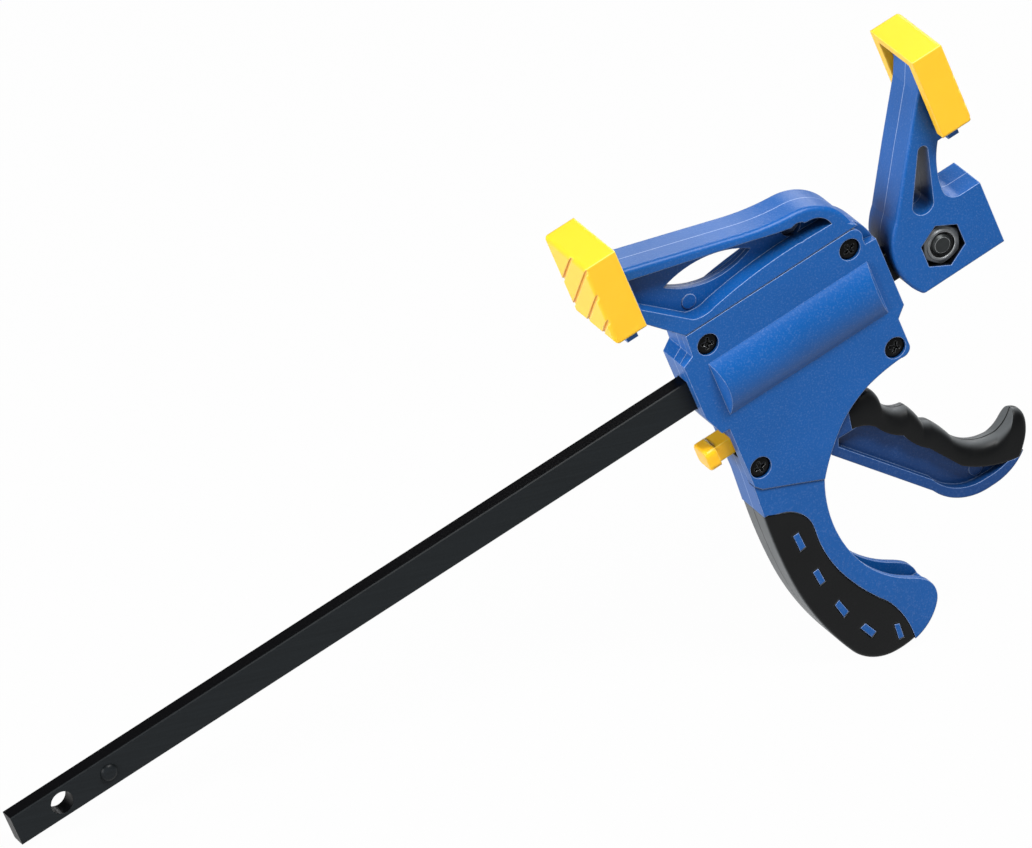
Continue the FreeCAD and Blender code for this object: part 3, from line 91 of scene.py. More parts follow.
lens_spot = np.array((-1.93397362, -3.96767572, 2.29788488))
lens_target = np.array((0.17261771, 0.0, 0.1024755))
camera = bpy.data.objects.new("camera", bpy.data.cameras.new("camera"))
camera.data.sensor_width = 36.0
camera.data.sensor_fit = "HORIZONTAL"
camera.data.lens = 516.2
camera.data.clip_end = 40.0
bpy.context.scene.collection.objects.link(camera)
place(camera, lens_spot, lens_target - lens_spot, math.radians(0.62425))
bpy.context.scene.camera = camera
bpy.context.scene.view_settings.view_transform = "Standard"


def soft_light(name, way, distance, size, power, tint):
    """Square area lamp that far from the housing in a direction, turned toward it."""
    lamp = bpy.data.lights.new(name, "AREA")
    lamp.shape = "RECTANGLE"
    lamp.size, lamp.size_y = size
    lamp.energy = power
    lamp.color = tint
    thing = bpy.data.objects.new(name, lamp)
    bpy.context.scene.collection.objects.link(thing)
    way = np.array(way) / np.linalg.norm(way)
    place(thing, np.array((0.24, 0.0, 0.12)) + way * distance, -way)
    thing.visible_camera = False


LAMP_DISTANCE = 1.4
soft_light("front_top_softbox", (0.12, -0.45, 0.88), LAMP_DISTANCE, (0.7, 0.45), 29.0,
           (1.0, 0.995, 0.98))
soft_light("back_right_softbox", (0.5, 0.75, 0.45), LAMP_DISTANCE, (0.8, 0.5), 6.0,
           (0.97, 0.98, 1.0))
soft_light("left_softbox", (-0.97, -0.1, 0.14), LAMP_DISTANCE, (1.2, 0.6), 25.0,
           (0.98, 0.99, 1.0))


def linear(code):
    """An sRGB hex colour as linear red, green, blue and one."""
    parts = [int(code[i:i + 2], 16) / 255.0 for i in (1, 3, 5)]
    return [p / 12.92 if p <= 0.04045 else ((p + 0.055) / 1.055) ** 2.4 for p in parts] + [1.0]


def add(tree, kind, settings=None, **sockets):
    """Add a node, set its properties, and set or link its sockets by name or by number."""
    node = tree.nodes.new(kind)
    for name, value in (settings or {}).items():
        setattr(node, name, value)
    for name, value in sockets.items():
        key = int(name[1:]) if name[0] == "n" and name[1:].isdigit() else name.replace("_", " ")
        if isinstance(value, bpy.types.NodeSocket):
            tree.links.new(value, node.inputs[key])
        else:
            node.inputs[key].default_value = value
    return node


def new_surface(name):
    """Empty material with its output node; hands back the tree and the output."""
    material = bpy.data.materials.new(name)
    material.use_nodes = True
    material.node_tree.nodes.clear()
    return material, material.node_tree, material.node_tree.nodes.new("ShaderNodeOutputMaterial")


world = bpy.data.worlds.new("studio")
world.use_nodes = True
world.node_tree.nodes.clear()
sky = world.node_tree
fill = add(sky, "ShaderNodeBackground", Color=(0.93, 0.96, 1.0, 1.0), Strength=0.13)
sky.links.new(fill.outputs[0], add(sky, "ShaderNodeOutputWorld").inputs[0])
bpy.context.scene.world = world

# The laminate looks white to the camera, and weaker white in reflections nearer the camera,
# where the photo's reflections are darker. The rest of it is a matt pale grey that takes the
# clamp's shadow.
WHITE_SHARE = 0.98
MIRROR_NEAR, MIRROR_FAR = -0.22, 0.02
MIRROR_LEAST = 0.35
BENCH_DROP = 0.0001
BENCH_REACH = 6.0
material, tree, out = new_surface("pale_bench_laminate")
rays = add(tree, "ShaderNodeLightPath")
grain = add(tree, "ShaderNodeTexNoise", Scale=40.0, Detail=3.0,
            Vector=add(tree, "ShaderNodeTexCoord").outputs["Object"])
tone = add(tree, "ShaderNodeMix", {"data_type": "RGBA"}, Factor=grain.outputs["Fac"],
           n6=linear("#9A9A99"), n7=linear("#A4A4A4"))
top = add(tree, "ShaderNodeBsdfPrincipled", Base_Color=tone.outputs[2], Roughness=0.7)
glow = add(tree, "ShaderNodeEmission", Color=(1.0, 1.0, 1.0, 1.0), Strength=1.0)
depth = add(tree, "ShaderNodeSeparateXYZ",
            Vector=add(tree, "ShaderNodeTexCoord").outputs["Object"])
mirrored = add(tree, "ShaderNodeMapRange", Value=depth.outputs["Y"], From_Min=MIRROR_NEAR,
               From_Max=MIRROR_FAR, To_Min=MIRROR_LEAST, To_Max=1.0)
mirrored = add(tree, "ShaderNodeMath", {"operation": "MULTIPLY"}, n0=mirrored.outputs[0],
               n1=rays.outputs["Is Glossy Ray"])
seen = add(tree, "ShaderNodeMath", {"operation": "MAXIMUM"}, n0=rays.outputs["Is Camera Ray"],
           n1=mirrored.outputs[0])
seen = add(tree, "ShaderNodeMath", {"operation": "MAXIMUM"}, n0=seen.outputs[0],
           n1=rays.outputs["Is Transmission Ray"])
lift = add(tree, "ShaderNodeMath", {"operation": "MULTIPLY"}, n0=seen.outputs[0],
           n1=WHITE_SHARE)
mixed = add(tree, "ShaderNodeMixShader", Fac=lift.outputs[0], n1=top.outputs[0], n2=glow.outputs[0])
tree.links.new(mixed.outputs[0], out.inputs["Surface"])
bench_level = cad_box[0][2] - BENCH_DROP
mesh = bpy.data.meshes.new("bench_top")
mesh.from_pydata([(x * BENCH_REACH, y * BENCH_REACH, bench_level)
                  for x, y in ((-1, -1), (1, -1), (1, 1), (-1, 1))], [], [(0, 1, 2, 3)])
bench = bpy.data.objects.new("bench_top", mesh)
bpy.context.scene.collection.objects.link(bench)
mesh.materials.append(material)

# Jaw body: the sliding jaw's arm, the back of the housing and the grip are one moulding in
# blue glass-filled nylon. Its outside has a fine spark-eroded grain, its edges are painted
# paler as a highlight, and a faint line of flash runs round its middle where the mould parts.
MM = 0.001


def dress(name, material):
    """Give a carried-over piece its finish."""
    thing = nodes[name]
    thing.data.materials.clear()
    thing.data.materials.append(material)
    return thing


def rounded_normal(tree, radius, bump=None):
    """Normal that rounds sharp corners by a radius in metres, then adds a bump."""
    edge = add(tree, "ShaderNodeBevel", {"samples": 8}, Radius=radius)
    if bump is None:
        return edge.outputs[0]
    height, strength, distance = bump
    return add(tree, "ShaderNodeBump", Strength=strength, Distance=distance, Height=height,
               Normal=edge.outputs[0]).outputs[0]


def edge_share(tree, radius, start, full):
    """Share from 0 on flats to 1 on corners, from how far a rounded normal turns there."""
    edge = add(tree, "ShaderNodeBevel", {"samples": 8}, Radius=radius)
    flat = add(tree, "ShaderNodeNewGeometry")
    alike = add(tree, "ShaderNodeVectorMath", {"operation": "DOT_PRODUCT"}, n0=edge.outputs[0],
                n1=flat.outputs["Normal"])
    return add(tree, "ShaderNodeMapRange", {"interpolation_type": "SMOOTHSTEP"},
               Value=alike.outputs["Value"], From_Min=start, From_Max=full,
               To_Min=0.0, To_Max=1.0).outputs[0]


def painted_shade_share(tree, reach, most):
    """Share from 0 in the open to a most in narrow gaps: painted shade that darkens them."""
    open_air = add(tree, "ShaderNodeAmbientOcclusion", {"samples": 6}, Distance=reach)
    return add(tree, "ShaderNodeMapRange", Value=open_air.outputs["AO"], From_Min=0.1,
               From_Max=0.72, To_Min=most, To_Max=0.0).outputs[0]


def moulded_nylon(name, code, pale, flash=False, pocket=None):
    """Spark-textured nylon: matt with a slight sheen, tiny glints painted as pale flecks, edges
    painted pale as a highlight and narrow gaps painted nearly black as shade. The real grain is
    0.2 to 0.4 mm and is drawn at 0.7 mm so that it shows. A pocket is given in millimetres as
    its place along and up, its radius and its mouth's distance from the middle, and is painted
    nearly black as shade."""
    material, tree, out = new_surface(name)
    spot = add(tree, "ShaderNodeTexCoord").outputs["Object"]
    grains = add(tree, "ShaderNodeTexNoise", Vector=spot, Scale=1.0 / (0.7 * MM), Detail=2.0,
                 Roughness=0.7)
    clouds = add(tree, "ShaderNodeTexNoise", Vector=spot, Scale=1.0 / (26.0 * MM), Detail=3.0)
    base = linear(code)
    darker = [c * 0.88 for c in base[:3]] + [1.0]
    lighter = [min(1.0, c * 1.12) for c in base[:3]] + [1.0]
    tone = add(tree, "ShaderNodeMix", {"data_type": "RGBA"}, Factor=clouds.outputs["Fac"],
               n6=darker, n7=lighter)
    # Pale flecks stand for tiny glints: a painted highlight.
    fleck = add(tree, "ShaderNodeMapRange", Value=grains.outputs["Fac"], From_Min=0.52,
                From_Max=0.8, To_Min=0.0, To_Max=0.1)
    speckled = add(tree, "ShaderNodeMix", {"data_type": "RGBA"}, Factor=fleck.outputs[0],
                   n6=tone.outputs[2], n7=linear(pale))
    # Edges are painted pale: a painted highlight.
    edge_highlight = edge_share(tree, 0.55 * MM, 0.995, 0.82)
    edge_highlight = add(tree, "ShaderNodeMath", {"operation": "MULTIPLY"}, n0=edge_highlight, n1=grains.outputs["Fac"])
    colour = add(tree, "ShaderNodeMix", {"data_type": "RGBA"}, Factor=edge_highlight.outputs[0],
                 n6=speckled.outputs[2], n7=linear(pale)).outputs[2]
    if flash:
        parts = add(tree, "ShaderNodeSeparateXYZ", Vector=spot)
        away = add(tree, "ShaderNodeMath", {"operation": "ABSOLUTE"}, n0=parts.outputs["Y"])
        line = add(tree, "ShaderNodeMapRange", {"interpolation_type": "SMOOTHSTEP"},
                   Value=away.outputs[0], From_Min=0.05 * MM, From_Max=0.24 * MM,
                   To_Min=1.0, To_Max=0.0)
        broken = add(tree, "ShaderNodeMath", {"operation": "MULTIPLY"}, n0=line.outputs[0],
                     n1=grains.outputs["Fac"])
        colour = add(tree, "ShaderNodeMix", {"data_type": "RGBA"}, Factor=broken.outputs[0],
                     n6=colour, n7=linear(pale)).outputs[2]
    # Narrow gaps and recesses are painted nearly black: painted shade.
    colour = add(tree, "ShaderNodeMix", {"data_type": "RGBA"}, n6=colour, n7=linear("#020510"),
                 Factor=painted_shade_share(tree, 14.0 * MM, 0.93)).outputs[2]
    # The nut's pocket is painted nearly black: painted shade.
    if pocket:
        place_x, place_z, wide, mouth = (v * MM for v in pocket)
        off = add(tree, "ShaderNodeVectorMath", {"operation": "MULTIPLY"}, n0=spot,
                  n1=(1.0, 0.0, 1.0))
        off = add(tree, "ShaderNodeVectorMath", {"operation": "DISTANCE"}, n0=off.outputs[0],
                  n1=(place_x, 0.0, place_z))
        near = add(tree, "ShaderNodeMapRange", Value=off.outputs["Value"], From_Min=wide,
                   From_Max=wide * 1.05, To_Min=1.0, To_Max=0.0)
        down = add(tree, "ShaderNodeMath", {"operation": "ABSOLUTE"},
                   n0=add(tree, "ShaderNodeSeparateXYZ", Vector=spot).outputs["Y"])
        down = add(tree, "ShaderNodeMapRange", Value=down.outputs[0], From_Min=mouth - 0.5 * MM,
                   From_Max=mouth - 0.15 * MM, To_Min=1.0, To_Max=0.0)
        pocket_shade = add(tree, "ShaderNodeMath", {"operation": "MULTIPLY"}, n0=near.outputs[0],
                   n1=down.outputs[0])
        colour = add(tree, "ShaderNodeMix", {"data_type": "RGBA"}, Factor=pocket_shade.outputs[0],
                     n6=colour, n7=linear("#030407")).outputs[2]
    gloss = add(tree, "ShaderNodeMapRange", Value=grains.outputs["Fac"], To_Min=0.3, To_Max=0.5)
    normal = rounded_normal(tree, 0.7 * MM, (grains.outputs["Fac"], 0.6, 0.1 * MM))
    skin = add(tree, "ShaderNodeBsdfPrincipled", Base_Color=colour, Roughness=gloss.outputs[0],
               Normal=normal, IOR=1.35, Sheen_Weight=0.06, Sheen_Roughness=0.35,
               Sheen_Tint=linear("#C9D4F0"))
    tree.links.new(skin.outputs[0], out.inputs["Surface"])
    return material


blue_nylon_flash = moulded_nylon("blue_glass_filled_nylon_with_flash", "#0A529A", "#BDCDEC", True)
dress("jaw_body", blue_nylon_flash)

# Side cover: a second moulding in the same blue nylon closes the front of the housing. It
# drops into a rebate, with a hair-line gap round it, and is held by four screws.
blue_nylon = moulded_nylon("blue_glass_filled_nylon", "#0A529A", "#BDCDEC")
dress("side_cover", blue_nylon)

# Fixed jaw: a blue nylon moulding clamped on the end of the bar by a hex bolt and nut. Its
# arm is hollowed by a tapered window, and the mould's flash line runs down its spine. The
# nut's pocket is painted nearly black as shade.
shade_pocket_nylon = moulded_nylon("blue_glass_filled_nylon_shaded_pocket", "#0A529A", "#BDCDEC", True,
                           (331.975, 139.261, 9.1, 9.0))
dress("fixed_jaw", shade_pocket_nylon)

# Trigger: an I-section lever in the same nylon, painted a deeper blue as shade, as it lies
# shaded under the housing, with its rubber skin moulded over the top.
shaded_trigger_nylon = moulded_nylon("shaded_blue_glass_filled_nylon", "#083C78", "#9DB4DC")
dress("trigger", shaded_trigger_nylon)

# Pads: soft yellow caps that slip over the ends of the jaws. They are moulded in a slightly
# waxy elastomer, smooth on the sides and finely grained on the grooved gripping face.


def soft_yellow(name, code, pale, roughness):
    """Waxy elastomer: satin, with edges painted paler as a highlight, and a little light passing
    its skin. The mould's 0.3 mm grain is drawn at 0.8 mm."""
    material, tree, out = new_surface(name)
    spot = add(tree, "ShaderNodeTexCoord").outputs["Object"]
    clouds = add(tree, "ShaderNodeTexNoise", Vector=spot, Scale=1.0 / (9.0 * MM), Detail=4.0)
    specks = add(tree, "ShaderNodeTexNoise", Vector=spot, Scale=1.0 / (0.8 * MM), Detail=2.0)
    base = linear(code)
    deeper = [base[0], base[1] * 0.95, base[2] * 0.7, 1.0]
    tone = add(tree, "ShaderNodeMix", {"data_type": "RGBA"}, Factor=clouds.outputs["Fac"],
               n6=deeper, n7=base)
    # Edges are painted paler: a painted highlight.
    edge_highlight = edge_share(tree, 0.9 * MM, 0.995, 0.8)
    edge_highlight = add(tree, "ShaderNodeMath", {"operation": "MULTIPLY"}, n0=edge_highlight, n1=0.4)
    colour = add(tree, "ShaderNodeMix", {"data_type": "RGBA"}, Factor=edge_highlight.outputs[0],
                 n6=tone.outputs[2], n7=linear(pale))
    normal = rounded_normal(tree, 1.1 * MM, (specks.outputs["Fac"], 0.25, 0.05 * MM))
    skin = add(tree, "ShaderNodeBsdfPrincipled", Base_Color=colour.outputs[2],
               Roughness=roughness, Normal=normal, IOR=1.38, Subsurface_Weight=0.2,
               Subsurface_Scale=2.0 * MM)
    skin.inputs["Subsurface Radius"].default_value = (1.0, 0.7, 0.15)
    tree.links.new(skin.outputs[0], out.inputs["Surface"])
    return material


yellow_elastomer = soft_yellow("yellow_pad_elastomer", "#F9C12C", "#FFEE9A", 0.42)
for name in ("fixed_pad", "moving_pad"):
    dress(name, yellow_elastomer)

# Release button: a harder, glossier yellow plastic pushed in from the left of the housing.
# Its stem is one piece with the rounded head and slides through the housing wall.
yellow_button = soft_yellow("yellow_button_acetal", "#FCC022", "#FFE680", 0.28)
dress("release_button", yellow_button)

# Bar: cold-rolled flat steel with a black baked coating, half glossy on its broad faces,
# where faint rolling marks run along it, and painted deeper black on its narrow edges as shade.


def black_bar_coat(name):
    """Baked black paint on rolled steel: long faint streaks, 0.8 mm apart, along the bar."""
    material, tree, out = new_surface(name)
    spot = add(tree, "ShaderNodeTexCoord").outputs["Object"]
    laid = add(tree, "ShaderNodeMapping", Vector=spot, Rotation=(0.0, STANCE, 0.0),
               Scale=(1.0 / (40.0 * MM), 1.0 / (0.8 * MM), 1.0 / (0.8 * MM)))
    streaks = add(tree, "ShaderNodeTexNoise", Vector=laid.outputs[0], Scale=1.0, Detail=3.0)
    peel = add(tree, "ShaderNodeTexNoise", Vector=spot, Scale=1.0 / (1.2 * MM), Detail=2.0)
    faces = add(tree, "ShaderNodeSeparateXYZ",
                Vector=add(tree, "ShaderNodeNewGeometry").outputs["Normal"])
    # Narrow edges are painted deeper black: painted shade.
    broad = add(tree, "ShaderNodeMath", {"operation": "ABSOLUTE"}, n0=faces.outputs["Y"])
    tone = add(tree, "ShaderNodeMix", {"data_type": "RGBA"}, Factor=streaks.outputs["Fac"],
               n6=linear("#15181A"), n7=linear("#202427"))
    colour = add(tree, "ShaderNodeMix", {"data_type": "RGBA"}, Factor=broad.outputs[0],
                 n6=linear("#030304"), n7=tone.outputs[2])
    gloss = add(tree, "ShaderNodeMapRange", Value=streaks.outputs["Fac"], To_Min=0.3, To_Max=0.44)
    normal = rounded_normal(tree, 0.35 * MM, (peel.outputs["Fac"], 0.12, 0.05 * MM))
    skin = add(tree, "ShaderNodeBsdfPrincipled", Base_Color=colour.outputs[2],
               Roughness=gloss.outputs[0], Normal=normal, IOR=1.2)
    tree.links.new(skin.outputs[0], out.inputs["Surface"])
    return material


bar_coat = black_bar_coat("black_baked_bar_coat")
dress("bar", bar_coat)

# Stop stud: a steel rivet near the bar's free end that keeps the jaw from sliding off. Its
# two low round heads were painted together with the bar.
dress("stop_stud", bar_coat)

# Soft skins: black thermoplastic rubber moulded over the grip and over the top of the
# trigger. It is matt and dark on the flats, shows a grey sheen where it turns away, and has
# a fine dark seam round its middle.


def black_rubber(name, code):
    """Moulded rubber: very matt, leathery 0.5 mm grain drawn at 0.8 mm, soft grey sheen, and a
    painted grey sheen where it turns away from the flats."""
    material, tree, out = new_surface(name)
    spot = add(tree, "ShaderNodeTexCoord").outputs["Object"]
    grains = add(tree, "ShaderNodeTexVoronoi", Vector=spot, Scale=1.0 / (0.8 * MM))
    clouds = add(tree, "ShaderNodeTexNoise", Vector=spot, Scale=1.0 / (14.0 * MM), Detail=3.0)
    base = linear(code)
    lighter = [c * 1.5 + 0.002 for c in base[:3]] + [1.0]
    tone = add(tree, "ShaderNodeMix", {"data_type": "RGBA"}, Factor=clouds.outputs["Fac"],
               n6=base, n7=lighter)
    # Faces turned away from the flats are painted grey: a painted sheen.
    way = add(tree, "ShaderNodeSeparateXYZ",
              Vector=add(tree, "ShaderNodeNewGeometry").outputs["Normal"])
    level = add(tree, "ShaderNodeMath", {"operation": "ABSOLUTE"}, n0=way.outputs["Y"])
    turning_away = add(tree, "ShaderNodeMapRange", {"interpolation_type": "SMOOTHSTEP"},
                  Value=level.outputs[0], From_Min=0.15, From_Max=0.85, To_Min=0.85, To_Max=0.0)
    parts = add(tree, "ShaderNodeSeparateXYZ", Vector=spot)
    away = add(tree, "ShaderNodeMath", {"operation": "ABSOLUTE"}, n0=parts.outputs["Y"])
    seam = add(tree, "ShaderNodeMapRange", {"interpolation_type": "SMOOTHSTEP"},
               Value=away.outputs[0], From_Min=0.15 * MM, From_Max=0.5 * MM,
               To_Min=0.0, To_Max=1.0)
    painted_sheen = add(tree, "ShaderNodeMath", {"operation": "MULTIPLY"}, n0=turning_away.outputs[0],
                n1=seam.outputs[0])
    tone = add(tree, "ShaderNodeMix", {"data_type": "RGBA"}, Factor=painted_sheen.outputs[0],
               n6=tone.outputs[2], n7=linear("#5E6163"))
    height = add(tree, "ShaderNodeMath", {"operation": "MULTIPLY_ADD"},
                 n0=grains.outputs["Distance"], n1=0.25, n2=seam.outputs[0])
    gloss = add(tree, "ShaderNodeMapRange", Value=clouds.outputs["Fac"], To_Min=0.34, To_Max=0.5)
    normal = rounded_normal(tree, 1.1 * MM, (height.outputs[0], 0.5, 0.12 * MM))
    skin = add(tree, "ShaderNodeBsdfPrincipled", Base_Color=tone.outputs[2],
               Roughness=gloss.outputs[0], Normal=normal, IOR=1.23, Sheen_Weight=0.15,
               Sheen_Roughness=0.35)
    tree.links.new(skin.outputs[0], out.inputs["Surface"])
    return material


rubber = black_rubber("black_moulded_rubber", "#08090A")
dress("grip_overmould", rubber)

# Trigger skin: the same rubber moulded over the top of the trigger, in soft humps for the
# fingers. It is domed from side to side, with the seam along its crest, and its lower edge
# wanders along the trigger's side.
# Places along the bar and toward the jaws, in millimetres; a last 1 marks an arc's middle.
CREST = [(307.4, -35.6, 0), (311.0, -37.2, 0), (316.4, -38.2, 1), (319.6, -43.6, 0),
         (321.6, -50.4, 1), (327.6, -53.6, 0), (329.8, -58.6, 1), (330.6, -62.6, 0),
         (333.4, -64.6, 0), (336.0, -69.0, 1), (338.6, -75.2, 0), (345.6, -82.4, 1),
         (354.2, -84.6, 0), (359.4, -82.4, 1), (362.4, -79.4, 0), (365.0, -81.4, 1),
         (365.0, -86.4, 0)]
SKIN_EDGE = [(305.4, -46.4, 0), (310.0, -48.0, 1), (313.8, -51.4, 0), (317.6, -57.2, 1),
             (321.6, -60.6, 0), (324.0, -66.0, 1), (328.3, -71.2, 0), (336.6, -85.0, 0),
             (346.0, -91.6, 1), (357.0, -95.2, 0)]


def trace(points, count, steps=24):
    """Even points along a run of lines and three-point arcs, by length: an arc goes round
    the centre that is as far from all of its three points."""
    run, index = [], 0
    while index < len(points) - 1:
        a = complex(*points[index][:2])
        if points[index + 1][2] == 0:
            b = complex(*points[index + 1][:2])
            run += [a + (b - a) * s for s in np.linspace(0.0, 1.0, steps, endpoint=False)]
            index += 1
            continue
        m, b = complex(*points[index + 1][:2]), complex(*points[index + 2][:2])
        w = (m - a) / (b - a)
        middle = a + (b - a) * (w - abs(w) ** 2) / (w - w.conjugate())
        turn = np.angle((m - middle) / (a - middle)) + np.angle((b - middle) / (m - middle))
        run += [middle + (a - middle) * np.exp(1j * s)
                for s in np.linspace(0.0, turn, steps, endpoint=False)]
        index += 2
    run = np.array(run + [complex(*points[-1][:2])])
    along = np.concatenate(([0.0], np.cumsum(np.abs(np.diff(run)))))
    even = np.linspace(0.0, along[-1], count)
    return np.interp(even, along, run.real), np.interp(even, along, run.imag)


def skin_form(rows, columns):
    """Skin as rings across the trigger: a ring starts at the lower edge on the front side,
    rises to the crest and falls to the lower edge behind by a superellipse of power 2.6,
    six millimetres to each side, and returns straight across underneath."""
    half_thick, power, under = 6.0, 2.0 / 2.6, 8
    low_x, low_y = trace(SKIN_EDGE, rows)
    top_x, top_y = trace(CREST, rows)
    angle = np.linspace(0.0, math.pi, columns - under)
    lift = np.concatenate((np.sin(angle) ** power, np.zeros(under)))
    side = np.sign(np.cos(angle)) * np.abs(np.cos(angle)) ** power
    side = half_thick * np.concatenate((side, np.linspace(-1.0, 1.0, under + 2)[1:-1]))
    x = low_x[:, None] + (top_x - low_x)[:, None] * lift
    y = low_y[:, None] + (top_y - low_y)[:, None] * lift
    spots = np.stack(np.broadcast_arrays(x, y, side), axis=-1)
    ends = np.repeat(spots[[0, -1]].mean(axis=1, keepdims=True), columns, axis=1)
    return np.concatenate((ends[:1], spots, ends[1:]))


def grid_faces(rows, columns, start):
    """Quads between rings of a grid that closes round, numbered from a first vertex."""
    i, j = np.meshgrid(np.arange(rows - 1), np.arange(columns), indexing="ij")
    k = (j + 1) % columns
    quads = np.stack((i * columns + j, (i + 1) * columns + j, (i + 1) * columns + k,
                      i * columns + k), axis=-1)
    return quads.reshape(-1, 4) + start


def stand_piece(name, grids, material, body, node):
    """New piece from closed grids in millimetres: outward faces, a weld at poles and seams,
    a body to ride on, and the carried-over piece that it stands for.
    Edges stay sharp where the surface turns by more than 38 degrees."""
    sharp_turn, weld_reach = math.radians(38.0), 0.01 * MM
    points, faces = [], []
    for grid in grids:
        first = sum(len(p) for p in points)
        quads = grid_faces(grid.shape[0], grid.shape[1], first)
        spots = to_bench(*(grid.reshape(-1, 3).T * MM))
        corners = spots[quads - first]
        volume = np.einsum("ij,ij->i", corners[:, 0], np.cross(corners[:, 1], corners[:, 2]))
        volume += np.einsum("ij,ij->i", corners[:, 0], np.cross(corners[:, 2], corners[:, 3]))
        points.append(spots)
        faces.append(quads if volume.sum() > 0 else quads[:, ::-1])
    mesh = bpy.data.meshes.new(name)
    mesh.from_pydata(np.concatenate(points).tolist(), [], np.concatenate(faces).tolist())
    mesh.materials.append(material)
    mesh.polygons.foreach_set("use_smooth", [True] * len(mesh.polygons))
    mesh.set_sharp_from_angle(angle=sharp_turn)
    thing = bpy.data.objects.new(name, mesh)
    bpy.context.scene.collection.objects.link(thing)
    weld = thing.modifiers.new("weld", "WELD")
    weld.merge_threshold = weld_reach
    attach(thing, body)
    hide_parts(node)
    return thing


stand_piece("trigger_skin", [skin_form(240, 56)], rubber, "trigger_lever", "trigger_overmould")

# Jaw bolt: a steel hex bolt with a dark oiled finish, put in from the back of the fixed jaw
# and sunk in a hex pocket there; its tip ends inside the nut.


def dark_steel(name, low, high, metallic, roughness, bright):
    """Blackened steel: patchy from handling, corners painted bright as worn metal and as a
    highlight.
    """
    material, tree, out = new_surface(name)
    spot = add(tree, "ShaderNodeTexCoord").outputs["Object"]
    patches = add(tree, "ShaderNodeTexNoise", Vector=spot, Scale=1.0 / (1.6 * MM), Detail=5.0)
    scratches = add(tree, "ShaderNodeTexNoise", Vector=spot, Scale=1.0 / (0.5 * MM), Detail=2.0)
    tone = add(tree, "ShaderNodeMix", {"data_type": "RGBA"}, Factor=patches.outputs["Fac"],
               n6=linear(low), n7=linear(high))
    # Corners are painted bright: worn metal and a painted highlight.
    edge_highlight = edge_share(tree, 0.32 * MM, 0.998, 0.93)
    colour = add(tree, "ShaderNodeMix", {"data_type": "RGBA"}, Factor=edge_highlight,
                 n6=tone.outputs[2], n7=linear(bright))
    gloss = add(tree, "ShaderNodeMapRange", Value=patches.outputs["Fac"], To_Min=roughness,
                To_Max=roughness + 0.15)
    normal = rounded_normal(tree, 0.35 * MM, (scratches.outputs["Fac"], 0.15, 0.03 * MM))
    skin = add(tree, "ShaderNodeBsdfPrincipled", Base_Color=colour.outputs[2],
               Metallic=metallic, Roughness=gloss.outputs[0], Normal=normal)
    tree.links.new(skin.outputs[0], out.inputs["Surface"])
    return material


bolt_steel = dark_steel("black_oiled_bolt_steel", "#1E2122", "#2E3233", 0.5, 0.36, "#B9BCBE")
dress("jaw_bolt", bolt_steel)

# Jaw nut and its ring: a self-locking nut with a rolled collar, blackened, its corners worn
# and painted bright as a highlight; the ring pressed into the collar is black nylon and grips
# the thread. The nut is drawn 13.9 mm across flats to fill its pocket as in the photo; the
# carried-over one is 13.
nut_steel = dark_steel("blackened_nut_steel", "#505356", "#7E8184", 0.55, 0.34, "#D5D8DA")
ring_nylon = dark_steel("black_ring_nylon", "#08090A", "#0E1011", 0.0, 0.45, "#1A1C1E")
NUT_AT = (360.0, 0.0, 3.15)


def nut_form(columns):
    """Nut on rings round its axis, each with a radius, a height and a share of the hexagon:
    its reach is the radius plus that share of a hexagon whose corners are rounded by a soft
    minimum of its three widths, and beyond the bevel's circle its height drops by 0.55 of
    the way out."""
    half_flats, bevel_radius, bevel_fall, sharpness, first_flat = 6.95, 6.6, 0.55, 26.0, 42.0
    around = np.linspace(0.0, 2.0 * math.pi, columns, endpoint=False)
    widths = np.stack([np.abs(np.cos(around - math.radians(first_flat + 60.0 * k)))
                       for k in range(3)])
    hexagon = half_flats / (widths ** sharpness).sum(axis=0) ** (1.0 / sharpness)
    rings = [(4.06, 0.0, 0.0), (0.0, 0.0, 1.0), (0.0, 1.7, 1.0), (0.0, 4.35, 1.0),
             (-0.12, 4.68, 1.0), (-0.4, 4.75, 1.0), (6.0, 4.75, 0.0), (5.88, 4.8, 0.0),
             (5.82, 4.9, 0.0), (5.78, 5.1, 0.0), (5.66, 5.24, 0.0), (5.45, 5.3, 0.0),
             (5.15, 5.3, 0.0), (4.9, 5.24, 0.0), (4.78, 5.08, 0.0), (4.9, 4.9, 0.0),
             (5.3, 4.7, 0.0), (5.34, 3.3, 0.0), (4.06, 3.25, 0.0), (4.06, 1.6, 0.0),
             (4.06, 0.0, 0.0)]
    form = np.empty((len(rings), columns, 3))
    for row, (radius, height, share) in enumerate(rings):
        reach = radius + hexagon * share
        bevelled = share and height > 3.0
        drop = np.maximum(reach - bevel_radius, 0.0) * bevel_fall if bevelled else 0.0
        form[row, :, 0] = NUT_AT[0] + reach * np.cos(around)
        form[row, :, 1] = NUT_AT[1] + reach * np.sin(around)
        form[row, :, 2] = NUT_AT[2] + height - drop
    return form


def ring_form(columns):
    """Ring of round-cornered square section round the nut's axis."""
    around = np.linspace(0.0, 2.0 * math.pi, columns, endpoint=False)
    columns_at = np.cos(around), np.sin(around)
    rings = [(4.12, 3.35), (4.12, 4.0), (4.2, 4.15), (4.4, 4.22), (5.0, 4.22), (5.25, 4.15),
             (5.25, 3.35), (4.12, 3.35)]
    return np.stack([np.stack((NUT_AT[0] + r * columns_at[0], NUT_AT[1] + r * columns_at[1],
                               np.full(columns, NUT_AT[2] + h)), axis=-1) for r, h in rings])


stand_piece("lock_nut", [nut_form(144)], nut_steel, "bar_and_jaw", "jaw_nut")
stand_piece("lock_ring", [ring_form(96)], ring_nylon, "bar_and_jaw", "nut_insert")

# Trigger pin: a plain turned pin that crosses the housing; only its ends could ever be seen.
dress("trigger_pin", bolt_steel)

